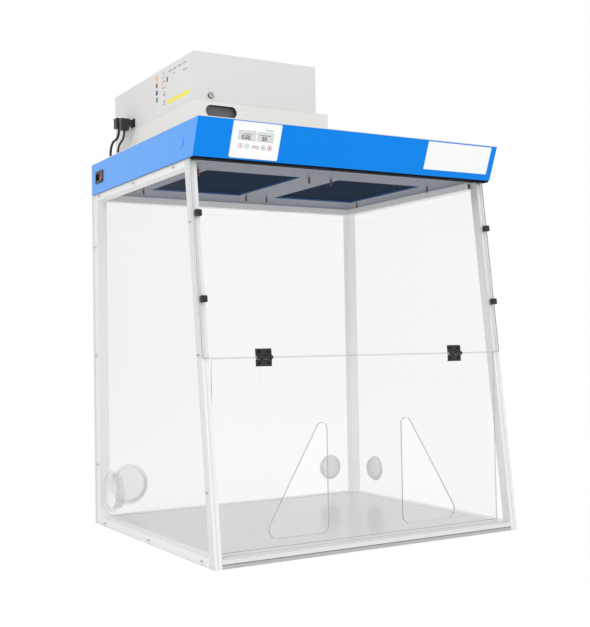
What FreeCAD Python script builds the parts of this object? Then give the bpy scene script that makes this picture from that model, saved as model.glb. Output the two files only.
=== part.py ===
"""Ductless fume hood for a laboratory bench.

A clear-walled chamber stands on a frame of square aluminium extrusion. Its front leans back: the
upper sheet is held by four thumb knobs, and the lower sheet hangs from two hinges and has two arm
holes. A folded blue header with a touch display closes the chamber, and a filter casing with a fan
unit stands on the left of the header.

Millimetres. X to the right, Y to the back, Z up. The origin is the centre of the footprint on the
bench, so the front of the hood faces -Y.
"""
import FreeCAD, Part
import Sketcher
import math
import os

os.makedirs("parts", exist_ok=True)

Vector = FreeCAD.Vector
Placement = FreeCAD.Placement
Rotation = FreeCAD.Rotation

doc = FreeCAD.newDocument("fume_hood")
sheet = doc.addObject("Spreadsheet::Sheet", "Sizes")


class Size:
    """A length that carries its number and the spreadsheet expression that gives it."""

    def __init__(self, number, text):
        self.number = number
        self.text = text

    def __float__(self):
        return self.number

    def __add__(self, other):
        return Size(float(self) + float(other), f"({self.text} + {text_of(other)})")

    def __radd__(self, other):
        return Size(float(other) + float(self), f"({text_of(other)} + {self.text})")

    def __sub__(self, other):
        return Size(float(self) - float(other), f"({self.text} - {text_of(other)})")

    def __rsub__(self, other):
        return Size(float(other) - float(self), f"({text_of(other)} - {self.text})")

    def __mul__(self, other):
        return Size(float(self) * float(other), f"({self.text} * {text_of(other)})")

    __rmul__ = __mul__

    def __truediv__(self, other):
        return Size(float(self) / float(other), f"({self.text} / {text_of(other)})")

    def __neg__(self):
        return Size(-float(self), f"(-{self.text})")


def text_of(value):
    return value.text if isinstance(value, Size) else repr(float(value))


def root_of(value):
    return Size(math.sqrt(float(value)), f"sqrt({text_of(value)})")


def angle_of(rise, run):
    """Angle in degrees of a slope, as a Size."""
    degrees = math.degrees(math.atan2(float(rise), float(run)))
    return Size(degrees, f"atan2({text_of(rise)}; {text_of(run)})")


# Driving dimensions
DIMENSIONS = [
    ("overall_width", 800),
    ("base_depth", 693),
    ("frame_height", 843),
    ("frame_top_depth", 595),
    ("panel_thickness", 4),
    ("panel_edge_gap", 2),
    ("profile_width", 25),
    ("profile_wall", 2),
    ("front_post_width", 16),
    ("base_rail_height", 20),
    ("top_rail_height", 16),
    ("post_corner_radius", 5),
    ("post_groove_width", 2.5),
    ("post_groove_depth", 1.5),
    ("post_groove_inset", 5.5),
    ("rail_slot_width", 1.5),
    ("rail_slot_depth", 4),
    ("rail_bead_height", 10),
    ("rail_bead_radius", 4.5),
    ("rail_foot_inset", 3),
    ("tray_drop", 1),
    ("tray_sheet", 1.5),
    ("tray_gap", 1),
    ("seam_height", 422.5),
    ("seam_gap", 2),
    ("flap_side_gap", 3),
    ("flap_rail_gap", 2),
    ("arm_hole_inset", 100),
    ("arm_hole_bottom", 40),
    ("arm_hole_width", 162),
    ("arm_hole_height", 272),
    ("arm_hole_inner_radius", 16),
    ("arm_hole_outer_radius", 20),
    ("arm_hole_apex_radius", 13),
    ("hinge_inset", 145),
    ("hinge_width", 38),
    ("hinge_leaf_height", 19),
    ("hinge_leaf_thickness", 2.5),
    ("hinge_knuckle_radius", 4),
    ("hinge_knuckle_gap", 0.3),
    ("hinge_standoff", 4.5),
    ("hinge_pin_radius", 2),
    ("hinge_pin_head_radius", 3),
    ("hinge_pin_head_height", 1.2),
    ("running_clearance", 0.05),
    ("hinge_screw_spacing", 22),
    ("hinge_screw_rise", 12),
    ("hinge_screw_radius", 1.6),
    ("hinge_screw_head_radius", 3),
    ("hinge_screw_head_height", 1.2),
    ("knob_width", 14),
    ("knob_height", 11),
    ("knob_corner_radius", 2),
    ("knob_collar_radius", 5.5),
    ("knob_collar_height", 2),
    ("knob_stud_radius", 2.5),
    ("knob_stud_reach", 6),
    ("knob_upper_height", 724),
    ("knob_lower_height", 544),
    ("panel_screw_radius", 1.75),
    ("panel_screw_head_radius", 2.8),
    ("panel_screw_head_height", 1.8),
    ("panel_screw_reach", 6),
    ("panel_screw_fit", 0.1),
    ("top_screw_back", 50),
    ("top_screw_front", 54),
    ("base_screw_back", 66),
    ("base_screw_front", 34),
    ("header_height", 79.5),
    ("header_sheet", 1.5),
    ("lid_sheet", 1.5),
    ("fascia_bottom_depth", 621),
    ("fascia_top_depth", 653),
    ("ceiling_sheet", 1.5),
    ("ceiling_rim_height", 3),
    ("ceiling_rim_wall", 1.5),
    ("opening_width", 245),
    ("opening_depth", 322),
    ("opening_offset", 175),
    ("opening_back_distance", 154),
    ("pre_filter_height", 20),
    ("pre_filter_lap", 8),
    ("stud_radius", 2.5),
    ("stud_length", 14),
    ("stud_offset", 22),
    ("seal_height", 4),
    ("seal_depth", 19),
    ("seal_gap", 0.3),
    ("display_left", 318),
    ("display_width", 116),
    ("display_height", 78),
    ("display_rise", 4.2),
    ("display_thickness", 3),
    ("display_corner_radius", 3),
    ("window_width", 96),
    ("window_height", 58),
    ("window_drop", 0.4),
    ("display_module_depth", 14),
    ("fitting_gap", 0.3),
    ("inlet_back_distance", 61),
    ("inlet_rise", 40),
    ("inlet_width", 52),
    ("inlet_height", 30),
    ("inlet_flange", 2.5),
    ("inlet_body_margin", 2.5),
    ("inlet_body_depth", 28),
    ("socket_width", 24),
    ("socket_height", 16.5),
    ("socket_chamfer", 4),
    ("socket_depth", 15),
    ("socket_offset", 10.5),
    ("contact_width", 4),
    ("contact_thickness", 2),
    ("contact_spacing", 7),
    ("rocker_width", 12),
    ("rocker_height", 21),
    ("rocker_offset", 14.5),
    ("rocker_depth", 7),
    ("rocker_proud", 1.5),
    ("rocker_axle_radius", 1),
    ("rocker_tilt", 7),
    ("plug_front_distance", 89),
    ("plug_rise", 39),
    ("plug_radius", 12.5),
    ("plug_hole_radius", 11),
    ("plug_head", 1.2),
    ("casing_left_inset", 38),
    ("casing_width", 339),
    ("casing_back_distance", 76),
    ("casing_depth", 476),
    ("casing_height", 57.5),
    ("casing_sheet", 1.5),
    ("casing_top_border", 22),
    ("hand_slot_width", 75),
    ("hand_slot_height", 25.5),
    ("hand_slot_inset", 65),
    ("hand_slot_drop", 21),
    ("filter_side_gap", 6),
    ("filter_finger_room", 14),
    ("filter_height", 50),
    ("filter_frame", 14),
    ("filter_recess", 3),
    ("fan_width", 307),
    ("fan_height", 106),
    ("fan_sheet", 1.5),
    ("fan_inlet_radius", 62),
    ("fan_inlet_lip", 9),
    ("wheel_radius", 95),
    ("wheel_height", 46),
    ("wheel_plate", 1.6),
    ("wheel_floor_gap", 8),
    ("wheel_eye_gap", 2.5),
    ("blade_count", 9),
    ("blade_thickness", 1.6),
    ("blade_inner_radius", 68),
    ("blade_rim_inset", 0.5),
    ("blade_sweep", 48),
    ("hub_radius", 15),
    ("hub_height", 22),
    ("motor_shaft_radius", 4),
    ("motor_radius", 44),
    ("bracket_width", 110),
    ("bracket_sheet", 2),
    ("grille_width", 220),
    ("grille_depth", 100),
    ("grille_back_distance", 30),
    ("grille_lap", 8),
    ("grille_sheet", 1.5),
    ("grille_slot", 5),
    ("grille_slot_count", 18),
    ("sample_inset", 39),
    ("sample_rise", 12),
    ("sample_radius", 6.5),
    ("sample_hole_radius", 4.5),
    ("sample_head", 4),
    ("small_cap_radius", 35),
    ("small_hole_radius", 29),
    ("large_cap_radius", 52),
    ("large_hole_radius", 43),
    ("cap_flange", 3),
    ("cap_cup_depth", 12),
    ("large_cup_depth", 20),
    ("cap_wall", 2),
    ("port_rise", 93),
    ("port_back_distance", 109),
    ("port_side_inset", 91),
    ("lead_inset", 14),
    ("lead_tail", 10),
    ("lead_grommet_radius", 7),
    ("lead_grommet_lap", 2),
    ("lead_grommet_height", 3),
    ("power_lead_radius", 3),
    ("power_lead_reach", 60),
    ("power_lead_drop", 22),
    ("power_lead_fall", 5),
    ("power_plug_back", 87),
    ("power_plug_rise", 8),
    ("power_plug_width", 22),
    ("power_plug_height", 24),
    ("control_lead_radius", 2.5),
    ("control_lead_reach", 44),
    ("control_lead_drop", 17),
    ("control_lead_fall", 15),
    ("control_plug_back", 123),
    ("control_plug_drop", 3),
    ("control_plug_width", 18),
    ("control_plug_height", 28),
    ("lead_plug_depth", 20),
    ("lead_plug_nose", 7),
    ("fan_socket_width", 24),
    ("fan_socket_height", 20),
    ("fan_socket_flange", 3),
]

for row, (alias, number) in enumerate(DIMENSIONS, start=1):
    sheet.set(f"A{row}", alias)
    sheet.set(f"B{row}", str(number))
    sheet.setAlias(f"B{row}", alias)
doc.recompute()


class Dimensions:
    """The driving dimensions by name."""


d = Dimensions()
for alias, number in DIMENSIONS:
    setattr(d, alias, Size(float(number), f"Sizes.{alias}"))

parts = {}


def bind(thing, path, value):
    thing.setExpression(path, text_of(value))


def keep(label, thing):
    """Names a finished sub-part; its label is also its file's name."""
    thing.Label = label
    parts[label] = thing
    return thing


def place(thing, x=0, y=0, z=0, tilt=None, roll=None):
    """Puts a thing at x, y, z. tilt turns it about X and roll about Y, both in degrees."""
    if tilt is not None:
        thing.Placement = Placement(Vector(), Rotation(Vector(1, 0, 0), 1))
        bind(thing, "Placement.Rotation.Angle", tilt)
    elif roll is not None:
        thing.Placement = Placement(Vector(), Rotation(Vector(0, 1, 0), 1))
        bind(thing, "Placement.Rotation.Angle", roll)
    for axis, value in zip("xyz", (x, y, z)):
        bind(thing, f"Placement.Base.{axis}", value)
    return thing


def new_body(name):
    return doc.addObject("PartDesign::Body", name)


def new_sketch(body, plane, offset=0):
    """A sketch on one of the body's origin planes, moved along the plane's normal."""
    origin_plane = [f for f in body.Origin.OriginFeatures if f.Role == plane + "_Plane"][0]
    sketch = body.newObject("Sketcher::SketchObject", body.Name + "_sketch")
    sketch.AttachmentSupport = [(origin_plane, "")]
    sketch.MapMode = "FlatFace"
    bind(sketch, "AttachmentOffset.Base.z", offset)
    return sketch


def add_outline(sketch, points):
    """A closed outline whose corners are tied to the origin by the given sizes."""
    first = sketch.GeometryCount
    count = len(points)
    for i, (x, y) in enumerate(points):
        next_x, next_y = points[(i + 1) % count]
        line = Part.LineSegment(Vector(float(x), float(y), 0), Vector(float(next_x), float(next_y), 0))
        sketch.addGeometry(line, False)
    for i, (x, y) in enumerate(points):
        after = first + (i + 1) % count
        sketch.addConstraint(Sketcher.Constraint("Coincident", first + i, 2, after, 1))
        for kind, value in (("DistanceX", x), ("DistanceY", y)):
            number = sketch.addConstraint(Sketcher.Constraint(kind, -1, 1, first + i, 1, float(value)))
            bind(sketch, f"Constraints[{number}]", value)


def add_rectangle(sketch, left, bottom, right, top):
    add_outline(sketch, [(left, bottom), (right, bottom), (right, top), (left, top)])


def add_circle(sketch, x, y, radius):
    index = sketch.addGeometry(Part.Circle(Vector(float(x), float(y), 0), Vector(0, 0, 1), float(radius)))
    for kind, value in (("DistanceX", x), ("DistanceY", y)):
        number = sketch.addConstraint(Sketcher.Constraint(kind, -1, 1, index, 3, float(value)))
        bind(sketch, f"Constraints[{number}]", value)
    number = sketch.addConstraint(Sketcher.Constraint("Radius", index, float(radius)))
    bind(sketch, f"Constraints[{number}]", radius)


def pad(body, sketch, length, side="One side"):
    feature = body.newObject("PartDesign::Pad", body.Name + "_pad")
    feature.Profile = sketch
    feature.SideType = side
    bind(feature, "Length", length)
    doc.recompute()
    return feature


def cut_checked(body, feature, before):
    doc.recompute()
    after = body.Tip.Shape.Volume
    if not after < before:
        raise ValueError(f"{feature.Name} removed nothing: {before} to {after}")


def pocket(body, sketch, length=None, reverse=False):
    """Cuts the sketch out of the body: right through both ways, or to a depth."""
    before = body.Tip.Shape.Volume
    feature = body.newObject("PartDesign::Pocket", body.Name + "_pocket")
    feature.Profile = sketch
    if length is None:
        feature.Type = "ThroughAll"
        feature.SideType = "Symmetric"
    else:
        feature.Type = "Length"
        feature.Reversed = reverse
        bind(feature, "Length", length)
    cut_checked(body, feature, before)
    return feature


def fillet(body, radius, wanted):
    """Rounds the edges for which wanted(start, end) is true."""
    base = body.Tip
    names = []
    for i, edge in enumerate(base.Shape.Edges, start=1):
        ends = [v.Point for v in edge.Vertexes]
        if len(ends) == 2 and wanted(ends[0], ends[1]):
            names.append(f"Edge{i}")
    feature = body.newObject("PartDesign::Fillet", body.Name + "_fillet")
    feature.Base = (base, names)
    bind(feature, "Radius", radius)
    doc.recompute()
    return feature


def near(a, b, tolerance=0.01):
    return abs(float(a) - float(b)) < tolerance


def revolve(body, profile):
    """Turns a closed profile of (radius, height) corners about the body's Z axis."""
    sketch = new_sketch(body, "XZ")
    add_outline(sketch, profile)
    feature = body.newObject("PartDesign::Revolution", body.Name + "_turned")
    feature.Profile = sketch
    feature.ReferenceAxis = (sketch, ["V_Axis"])
    feature.Angle = 360
    doc.recompute()
    return feature


def plate_x(name, outline, start, thickness):
    """A plate across X, from its outline in (y, z)."""
    body = new_body(name)
    sketch = new_sketch(body, "YZ", start)
    add_outline(sketch, outline)
    pad(body, sketch, thickness)
    return body


def plate_y(name, outline, back, thickness):
    """A plate across Y, from its outline in (x, z); back is its rear face."""
    body = new_body(name)
    sketch = new_sketch(body, "XZ", -back)
    add_outline(sketch, outline)
    pad(body, sketch, thickness)
    return body


def plate_z(name, outline, bottom, thickness):
    """A plate across Z, from its outline in (x, y)."""
    body = new_body(name)
    sketch = new_sketch(body, "XY", bottom)
    add_outline(sketch, outline)
    pad(body, sketch, thickness)
    return body


def rectangle(left, bottom, right, top):
    return [(left, bottom), (right, bottom), (right, top), (left, top)]


def cylinder(name, radius, height, axis, x, y, z):
    """A cylinder that starts at x, y, z and runs along +X, +Y or +Z."""
    thing = doc.addObject("Part::Cylinder", name)
    turns = {"X": Rotation(Vector(0, 1, 0), 90), "Y": Rotation(Vector(1, 0, 0), -90), "Z": Rotation()}
    thing.Placement = Placement(Vector(), turns[axis])
    bind(thing, "Radius", radius)
    bind(thing, "Height", height)
    return place(thing, x, y, z)


def box(name, length, width, height, x, y, z):
    thing = doc.addObject("Part::Box", name)
    bind(thing, "Length", length)
    bind(thing, "Width", width)
    bind(thing, "Height", height)
    return place(thing, x, y, z)


def cut(label, base, tools):
    """Base less its tools, as a finished sub-part; the volume has to drop."""
    if len(tools) > 1:
        tool = doc.addObject("Part::MultiFuse", label + "_tools")
        tool.Shapes = tools
    else:
        tool = tools[0]
    base.Label = label + "_blank"
    result = doc.addObject("Part::Cut", label + "_cut")
    result.Base = base
    result.Tool = tool
    doc.recompute()
    if not result.Shape.Volume < base.Shape.Volume:
        raise ValueError(f"{label}: the tools remove nothing")
    return keep(label, result)


def group(label, shape, placements):
    """Copies of one shape, kept as separate solids of one sub-part."""
    copies = []
    for placement in placements:
        copy = shape.copy()
        copy.Placement = placement.multiply(copy.Placement)
        copies.append(copy)
    return keep_solids(label, copies)


def keep_solids(label, shapes):
    """Solids that are already in place, kept as one sub-part."""
    thing = doc.addObject("Part::Feature", label)
    thing.Shape = Part.makeCompound(shapes)
    thing.Placement = Placement()
    return keep(label, thing)


# Places that several pieces share
half_width = d.overall_width / 2
frame_side = half_width - d.panel_thickness
post_inner = frame_side - d.profile_width
front_post_inner = frame_side - d.front_post_width
back_face = d.base_depth / 2
front_face = -back_face
frame_back = back_face - d.panel_thickness
rear_post_front = frame_back - d.profile_width
sash_rise = (d.base_depth - d.frame_top_depth) / d.frame_height
sash_stretch = root_of(sash_rise * sash_rise + 1)
sash_lean = angle_of(d.base_depth - d.frame_top_depth, d.frame_height)
sash_square = angle_of(d.frame_height, d.base_depth - d.frame_top_depth)
post_depth = d.profile_width * sash_stretch
top_rail_bottom = d.frame_height - d.top_rail_height
header_top = d.frame_height + d.header_height


def sash_front(height):
    """Y of the front of the leaning posts at a height."""
    return front_face + sash_rise * height


def sash_point(out, along):
    """Y and Z of a point given by its distance in front of the posts and its way up them."""
    y = front_face + (sash_rise * along - out) / sash_stretch
    z = (along + sash_rise * out) / sash_stretch
    return y, z


def rail_section(body, plane, offset, length, x, width, height, bottom):
    """A hollow extrusion along Y or X, from a rectangle with its wall."""
    sketch = new_sketch(body, plane, offset)
    add_rectangle(sketch, x, bottom, x + width, bottom + height)
    wall = d.profile_wall
    add_rectangle(sketch, x + wall, bottom + wall, x + width - wall, bottom + height - wall)
    return pad(body, sketch, length)


def trim_to_post(body, bottom, top):
    """Cuts a side rail's front end along the back of the leaning post."""
    sketch = new_sketch(body, "YZ")
    low = sash_front(bottom) + post_depth
    high = sash_front(top) + post_depth
    beyond = front_face - d.profile_width
    add_outline(sketch, [(low, bottom), (high, top), (beyond, top), (beyond, bottom)])
    pocket(body, sketch)


# Positions of the screws that hold the side panels, as (y, z) on the frame
def side_screw_places():
    top_front = sash_front(top_rail_bottom) + post_depth + d.top_screw_front
    base_front = front_face + post_depth + d.base_screw_front
    rows = []
    for height, back, front in (
        (top_rail_bottom + d.top_rail_height / 2, back_face - d.top_screw_back, top_front),
        (d.base_rail_height / 2, back_face - d.base_screw_back, base_front),
    ):
        for share in (0, 0.5, 1):
            rows.append((back + (front - back) * share, height))
    for share in (0.18, 0.51, 0.84):
        height = d.frame_height * share
        rows.append((frame_back - d.profile_width / 2, height))
        rows.append((sash_front(height) + post_depth / 2, height))
    return rows


def side_screw_holes(name, side):
    """Drills for the side panel's screws, through the panel and into the frame."""
    holes = []
    depth = d.panel_thickness + d.panel_screw_reach
    start = -half_width if side < 0 else half_width - depth
    for i, (y, z) in enumerate(side_screw_places()):
        radius = d.panel_screw_radius + d.panel_screw_fit
        holes.append(cylinder(f"{name}_screw_hole_{i}", radius, depth, "X", start, y, z))
    return holes


# Frame: rails and posts of hollow aluminium extrusion
def make_frame():
    rail_length = rear_post_front - front_face
    for side, word in ((-1, "left"), (1, "right")):
        holes = side_screw_holes(f"frame_{word}", side)
        outer = -frame_side if side < 0 else post_inner
        body = new_body(f"base_rail_{word}")
        rail_section(body, "XZ", -rear_post_front, rail_length, outer, d.profile_width, d.base_rail_height, 0)
        trim_to_post(body, 0, d.base_rail_height)
        cut(f"base_rail_{word}", body, holes[3:6])

        body = new_body(f"top_rail_{word}")
        rail_section(
            body, "XZ", -rear_post_front, rail_length, outer,
            d.profile_width, d.top_rail_height, top_rail_bottom,
        )
        trim_to_post(body, top_rail_bottom, d.frame_height)
        cut(f"top_rail_{word}", body, holes[0:3])

        body = new_body(f"rear_post_{word}")
        sketch = new_sketch(body, "XY")
        wall = d.profile_wall
        add_rectangle(sketch, outer, rear_post_front, outer + d.profile_width, frame_back)
        add_rectangle(
            sketch, outer + wall, rear_post_front + wall, outer + d.profile_width - wall, frame_back - wall
        )
        pad(body, sketch, d.frame_height)
        cut(f"rear_post_{word}", body, holes[6::2])
        make_front_post(side, word, holes[7::2])

    for name, height, bottom in (
        ("base_rail_back", d.base_rail_height, 0),
        ("top_rail_back", d.top_rail_height, top_rail_bottom),
    ):
        body = new_body(name)
        rail_section(body, "YZ", -post_inner, post_inner * 2, rear_post_front, d.profile_width, height, bottom)
        keep(name, body)
    make_front_rail()


def make_front_post(side, word, screw_holes):
    """The leaning post: its section at the floor, pushed up along the lean."""
    outer = -frame_side if side < 0 else front_post_inner
    body = new_body(f"front_post_{word}")
    sketch = new_sketch(body, "XY")
    front = front_face
    back = front_face + post_depth
    inner = outer + d.front_post_width
    groove_outer = d.post_groove_inset
    groove_inner = d.post_groove_inset + d.post_groove_width
    if side < 0:
        groove = [outer + groove_outer, outer + groove_inner]
    else:
        groove = [inner - groove_inner, inner - groove_outer]
    add_outline(sketch, [
        (outer, front), (groove[0], front), (groove[0], front + d.post_groove_depth),
        (groove[1], front + d.post_groove_depth), (groove[1], front), (inner, front),
        (inner, back), (outer, back),
    ])
    wall = d.profile_wall
    bottom = d.post_groove_depth + wall
    add_rectangle(sketch, outer + wall, front + bottom, inner - wall, back - wall)
    feature = pad(body, sketch, d.frame_height)
    feature.UseCustomVector = True
    feature.Direction = Vector(0, 1, 10)
    bind(feature, "Direction.y", d.base_depth - d.frame_top_depth)
    bind(feature, "Direction.z", d.frame_height)
    feature.AlongSketchNormal = True
    doc.recompute()
    corner = outer if side < 0 else inner

    def outer_front_edge(a, b):
        runs_up = abs(a.z - b.z) > float(d.frame_height) / 2
        return runs_up and near(a.x, corner) and min(a.y, b.y) < float(front) + 1

    fillet(body, d.post_corner_radius, outer_front_edge)
    tools = list(screw_holes)
    for height in (d.knob_upper_height, d.knob_lower_height):
        tools.append(sash_drill(f"post_{word}_stud_hole", side, height))
    cut(f"front_post_{word}", body, tools)


def knob_x(side):
    return (frame_side - d.front_post_width / 2) * side


def sash_drill(name, side, height):
    """The hole of a knob's stud, square to the leaning front."""
    reach = d.panel_thickness + d.knob_stud_reach + 1
    thing = doc.addObject("Part::Cylinder", name)
    bind(thing, "Radius", d.knob_stud_radius + d.running_clearance)
    bind(thing, "Height", reach)
    y, z = sash_point(-(d.knob_stud_reach + 1), height * sash_stretch)
    return place(thing, knob_x(side), y, z, tilt=sash_square)


def make_front_rail():
    """The front rail: a round bead over a narrow slot and a foot that stands back a little."""
    body = new_body("base_rail_front")
    sketch = new_sketch(body, "YZ", -front_post_inner)
    front = front_face
    foot = front_face + d.rail_foot_inset
    slot_end = front_face + d.rail_slot_depth
    back = front_face + d.profile_width
    top = d.base_rail_height
    high = top - d.rail_bead_height
    low = high - d.rail_slot_width
    add_outline(sketch, [
        (foot, 0), (back, 0), (back, top), (front, top), (front, high), (slot_end, high), (slot_end, low),
        (foot, low),
    ])
    wall = d.profile_wall
    add_rectangle(sketch, slot_end + wall, wall, back - wall, top - wall)
    pad(body, sketch, front_post_inner * 2)

    def bead_edge(a, b):
        return near(a.y, front) and near(b.y, front) and near(a.z, top) and near(b.z, top)

    fillet(body, d.rail_bead_radius, bead_edge)
    keep("base_rail_front", body)


# Work tray: a flat top with its edges turned down to the bench
def make_tray():
    top = d.base_rail_height - d.tray_drop
    side = post_inner
    back = rear_post_front - d.tray_gap
    front = front_face + d.profile_width + d.tray_gap
    body = plate_z("work_tray", rectangle(-side, front, side, back), 0, top)
    sketch = new_sketch(body, "XY")
    skin = d.tray_sheet
    add_rectangle(sketch, -(side - skin), front + skin, side - skin, back - skin)
    pocket(body, sketch, top - skin, reverse=True)
    keep("work_tray", body)


# Clear panels
def port_centres():
    """Wall, place along the wall and size of each cable port."""
    return {
        "port_cap_left": ("left", back_face - d.port_back_distance, "large"),
        "port_cap_right": ("right", back_face - d.port_back_distance, "small"),
        "port_cap_back_left": ("back", -(half_width - d.port_side_inset), "large"),
        "port_cap_back_right": ("back", half_width - d.port_side_inset, "small"),
    }


def port_sizes(size):
    if size == "large":
        return d.large_cap_radius, d.large_hole_radius, d.large_cup_depth
    return d.small_cap_radius, d.small_hole_radius, d.cap_cup_depth


def port_hole(name):
    wall, along, size = port_centres()[name]
    hole = port_sizes(size)[1]
    if wall == "back":
        return cylinder(name + "_hole", hole, d.panel_thickness, "Y", along, frame_back, d.port_rise)
    start = -half_width if wall == "left" else frame_side
    return cylinder(name + "_hole", hole, d.panel_thickness, "X", start, along, d.port_rise)


def make_side_panels():
    low = d.panel_edge_gap
    high = d.frame_height - d.panel_edge_gap
    outline = [
        (back_face, low), (sash_front(low) + d.panel_edge_gap, low),
        (sash_front(high) + d.panel_edge_gap, high), (back_face, high),
    ]
    for side, word in ((-1, "left"), (1, "right")):
        start = -half_width if side < 0 else frame_side
        body = plate_x(f"side_panel_{word}", outline, start, d.panel_thickness)
        tools = side_screw_holes(f"side_panel_{word}", side) + [port_hole(f"port_cap_{word}")]
        cut(f"side_panel_{word}", body, tools)


def make_back_panel():
    outline = rectangle(-frame_side, d.panel_edge_gap, frame_side, d.frame_height - d.panel_edge_gap)
    body = plate_y("back_panel", outline, back_face, d.panel_thickness)
    cut("back_panel", body, [port_hole("port_cap_back_left"), port_hole("port_cap_back_right")])


def make_side_screws():
    """Button-head screws, one shape turned once and repeated on both sides."""
    shape = turned_shape("panel_screw", [
        (0, -(d.panel_thickness + d.panel_screw_reach)),
        (d.panel_screw_radius, -(d.panel_thickness + d.panel_screw_reach)), (d.panel_screw_radius, 0),
        (d.panel_screw_head_radius, 0), (d.panel_screw_head_radius, d.panel_screw_head_height / 2),
        (d.panel_screw_head_radius / 2, d.panel_screw_head_height), (0, d.panel_screw_head_height),
    ])
    placements = []
    for side in (-1, 1):
        turn = Rotation(Vector(0, 1, 0), 90 * side)
        for y, z in side_screw_places():
            placements.append(Placement(Vector(side * float(half_width), float(y), float(z)), turn))
    group("side_panel_screws", shape, placements)


def turned_shape(name, profile):
    """The shape of a small turned piece that is repeated, standing on Z."""
    body = new_body(name)
    revolve(body, profile)
    return body.Shape


# Front: upper panel, flap, hinges and knobs
hinge_out = d.panel_thickness + d.hinge_standoff
hinge_along = d.seam_height * sash_stretch - sash_rise * hinge_out
hinge_y, hinge_z = sash_point(hinge_out, hinge_along)
flap_front = hinge_y + d.hinge_standoff
seal_bottom = d.frame_height - d.seal_height
flap_bottom = d.base_rail_height + d.flap_rail_gap
flap_top = hinge_z - d.seam_gap / 2
flap_side = front_post_inner - d.flap_side_gap


def hinge_screw_x(side):
    """The two screws of one leaf, as x values."""
    middle = (half_width - d.hinge_inset) * side
    return [middle - d.hinge_screw_spacing / 2, middle + d.hinge_screw_spacing / 2]


def make_upper_front_panel():
    """Built flat in the plane of the posts' front faces, then leaned back with them."""
    bottom = hinge_along + d.seam_gap / 2
    top = (seal_bottom - d.seal_gap) * sash_stretch - d.panel_thickness * sash_rise
    body = plate_y("upper_front_panel", rectangle(-frame_side, bottom, frame_side, top), 0, d.panel_thickness)
    sketch = new_sketch(body, "XZ")
    for side in (-1, 1):
        for height in (d.knob_upper_height, d.knob_lower_height):
            add_circle(sketch, knob_x(side), height * sash_stretch, d.knob_stud_radius + d.running_clearance)
        for x in hinge_screw_x(side):
            add_circle(sketch, x, hinge_along + d.hinge_screw_rise, d.hinge_screw_radius + d.panel_screw_fit)
    pocket(body, sketch)
    keep("upper_front_panel", place(body, 0, front_face, 0, tilt=-sash_lean))


def make_lower_front_panel():
    """The flap: a plain sheet with two rounded three-cornered arm holes."""
    body = plate_y(
        "lower_front_panel", rectangle(-flap_side, flap_bottom, flap_side, flap_top),
        flap_front + d.panel_thickness, d.panel_thickness,
    )
    holes = new_sketch(body, "XZ")
    low = d.arm_hole_bottom
    for side in (-1, 1):
        inner = d.arm_hole_inset * side
        outer = (d.arm_hole_inset + d.arm_hole_width) * side
        add_outline(holes, [(inner, low), (outer, low), (inner, low + d.arm_hole_height)])
    pocket(body, holes)
    for x, z, radius in (
        (d.arm_hole_inset, low, d.arm_hole_inner_radius),
        (d.arm_hole_inset + d.arm_hole_width, low, d.arm_hole_outer_radius),
        (d.arm_hole_inset, low + d.arm_hole_height, d.arm_hole_apex_radius),
    ):
        def corner(a, b, x=x, z=z):
            across = near(a.x, b.x) and near(a.z, b.z)
            return across and near(abs(a.x), x) and near(a.z, z)

        fillet(body, radius, corner)
    screws = new_sketch(body, "XZ")
    for side in (-1, 1):
        for x in hinge_screw_x(side):
            add_circle(screws, x, hinge_z - d.hinge_screw_rise, d.hinge_screw_radius + d.panel_screw_fit)
    pocket(body, screws)
    keep("lower_front_panel", body)


def make_hinge_leaf(name, side, knuckles, direction, leaned):
    """One leaf with its two knuckles; direction is +1 for the leaf above the pin."""
    middle = (half_width - d.hinge_inset) * side
    left = middle - d.hinge_width / 2
    face = -d.panel_thickness if leaned else flap_front
    axis_y = face - d.hinge_standoff
    axis_z = hinge_along if leaned else hinge_z
    pitch = d.hinge_width / 4
    near_edge = axis_z + (d.hinge_knuckle_radius + d.hinge_knuckle_gap) * direction
    far_edge = axis_z + d.hinge_leaf_height * direction
    body = plate_y(name, rectangle(left, near_edge, left + d.hinge_width, far_edge), face, d.hinge_leaf_thickness)
    for i in knuckles:
        start = left + pitch * i + d.hinge_knuckle_gap / 2
        end = left + pitch * (i + 1) - d.hinge_knuckle_gap / 2
        tab = new_sketch(body, "XZ", -(face - d.hinge_knuckle_gap))
        add_rectangle(tab, start, axis_z, end, near_edge)
        pad(body, tab, d.hinge_leaf_thickness - d.hinge_knuckle_gap)
        barrel = new_sketch(body, "YZ", start)
        add_circle(barrel, axis_y, axis_z, d.hinge_knuckle_radius)
        pad(body, barrel, end - start)
    bore = new_sketch(body, "YZ", middle)
    add_circle(bore, axis_y, axis_z, d.hinge_pin_radius + d.running_clearance)
    pocket(body, bore)
    holes = new_sketch(body, "XZ")
    for x in hinge_screw_x(side):
        add_circle(holes, x, axis_z + d.hinge_screw_rise * direction, d.hinge_screw_radius + d.panel_screw_fit)
    pocket(body, holes)
    if leaned:
        place(body, 0, front_face, 0, tilt=-sash_lean)
    keep(name, body)


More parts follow.
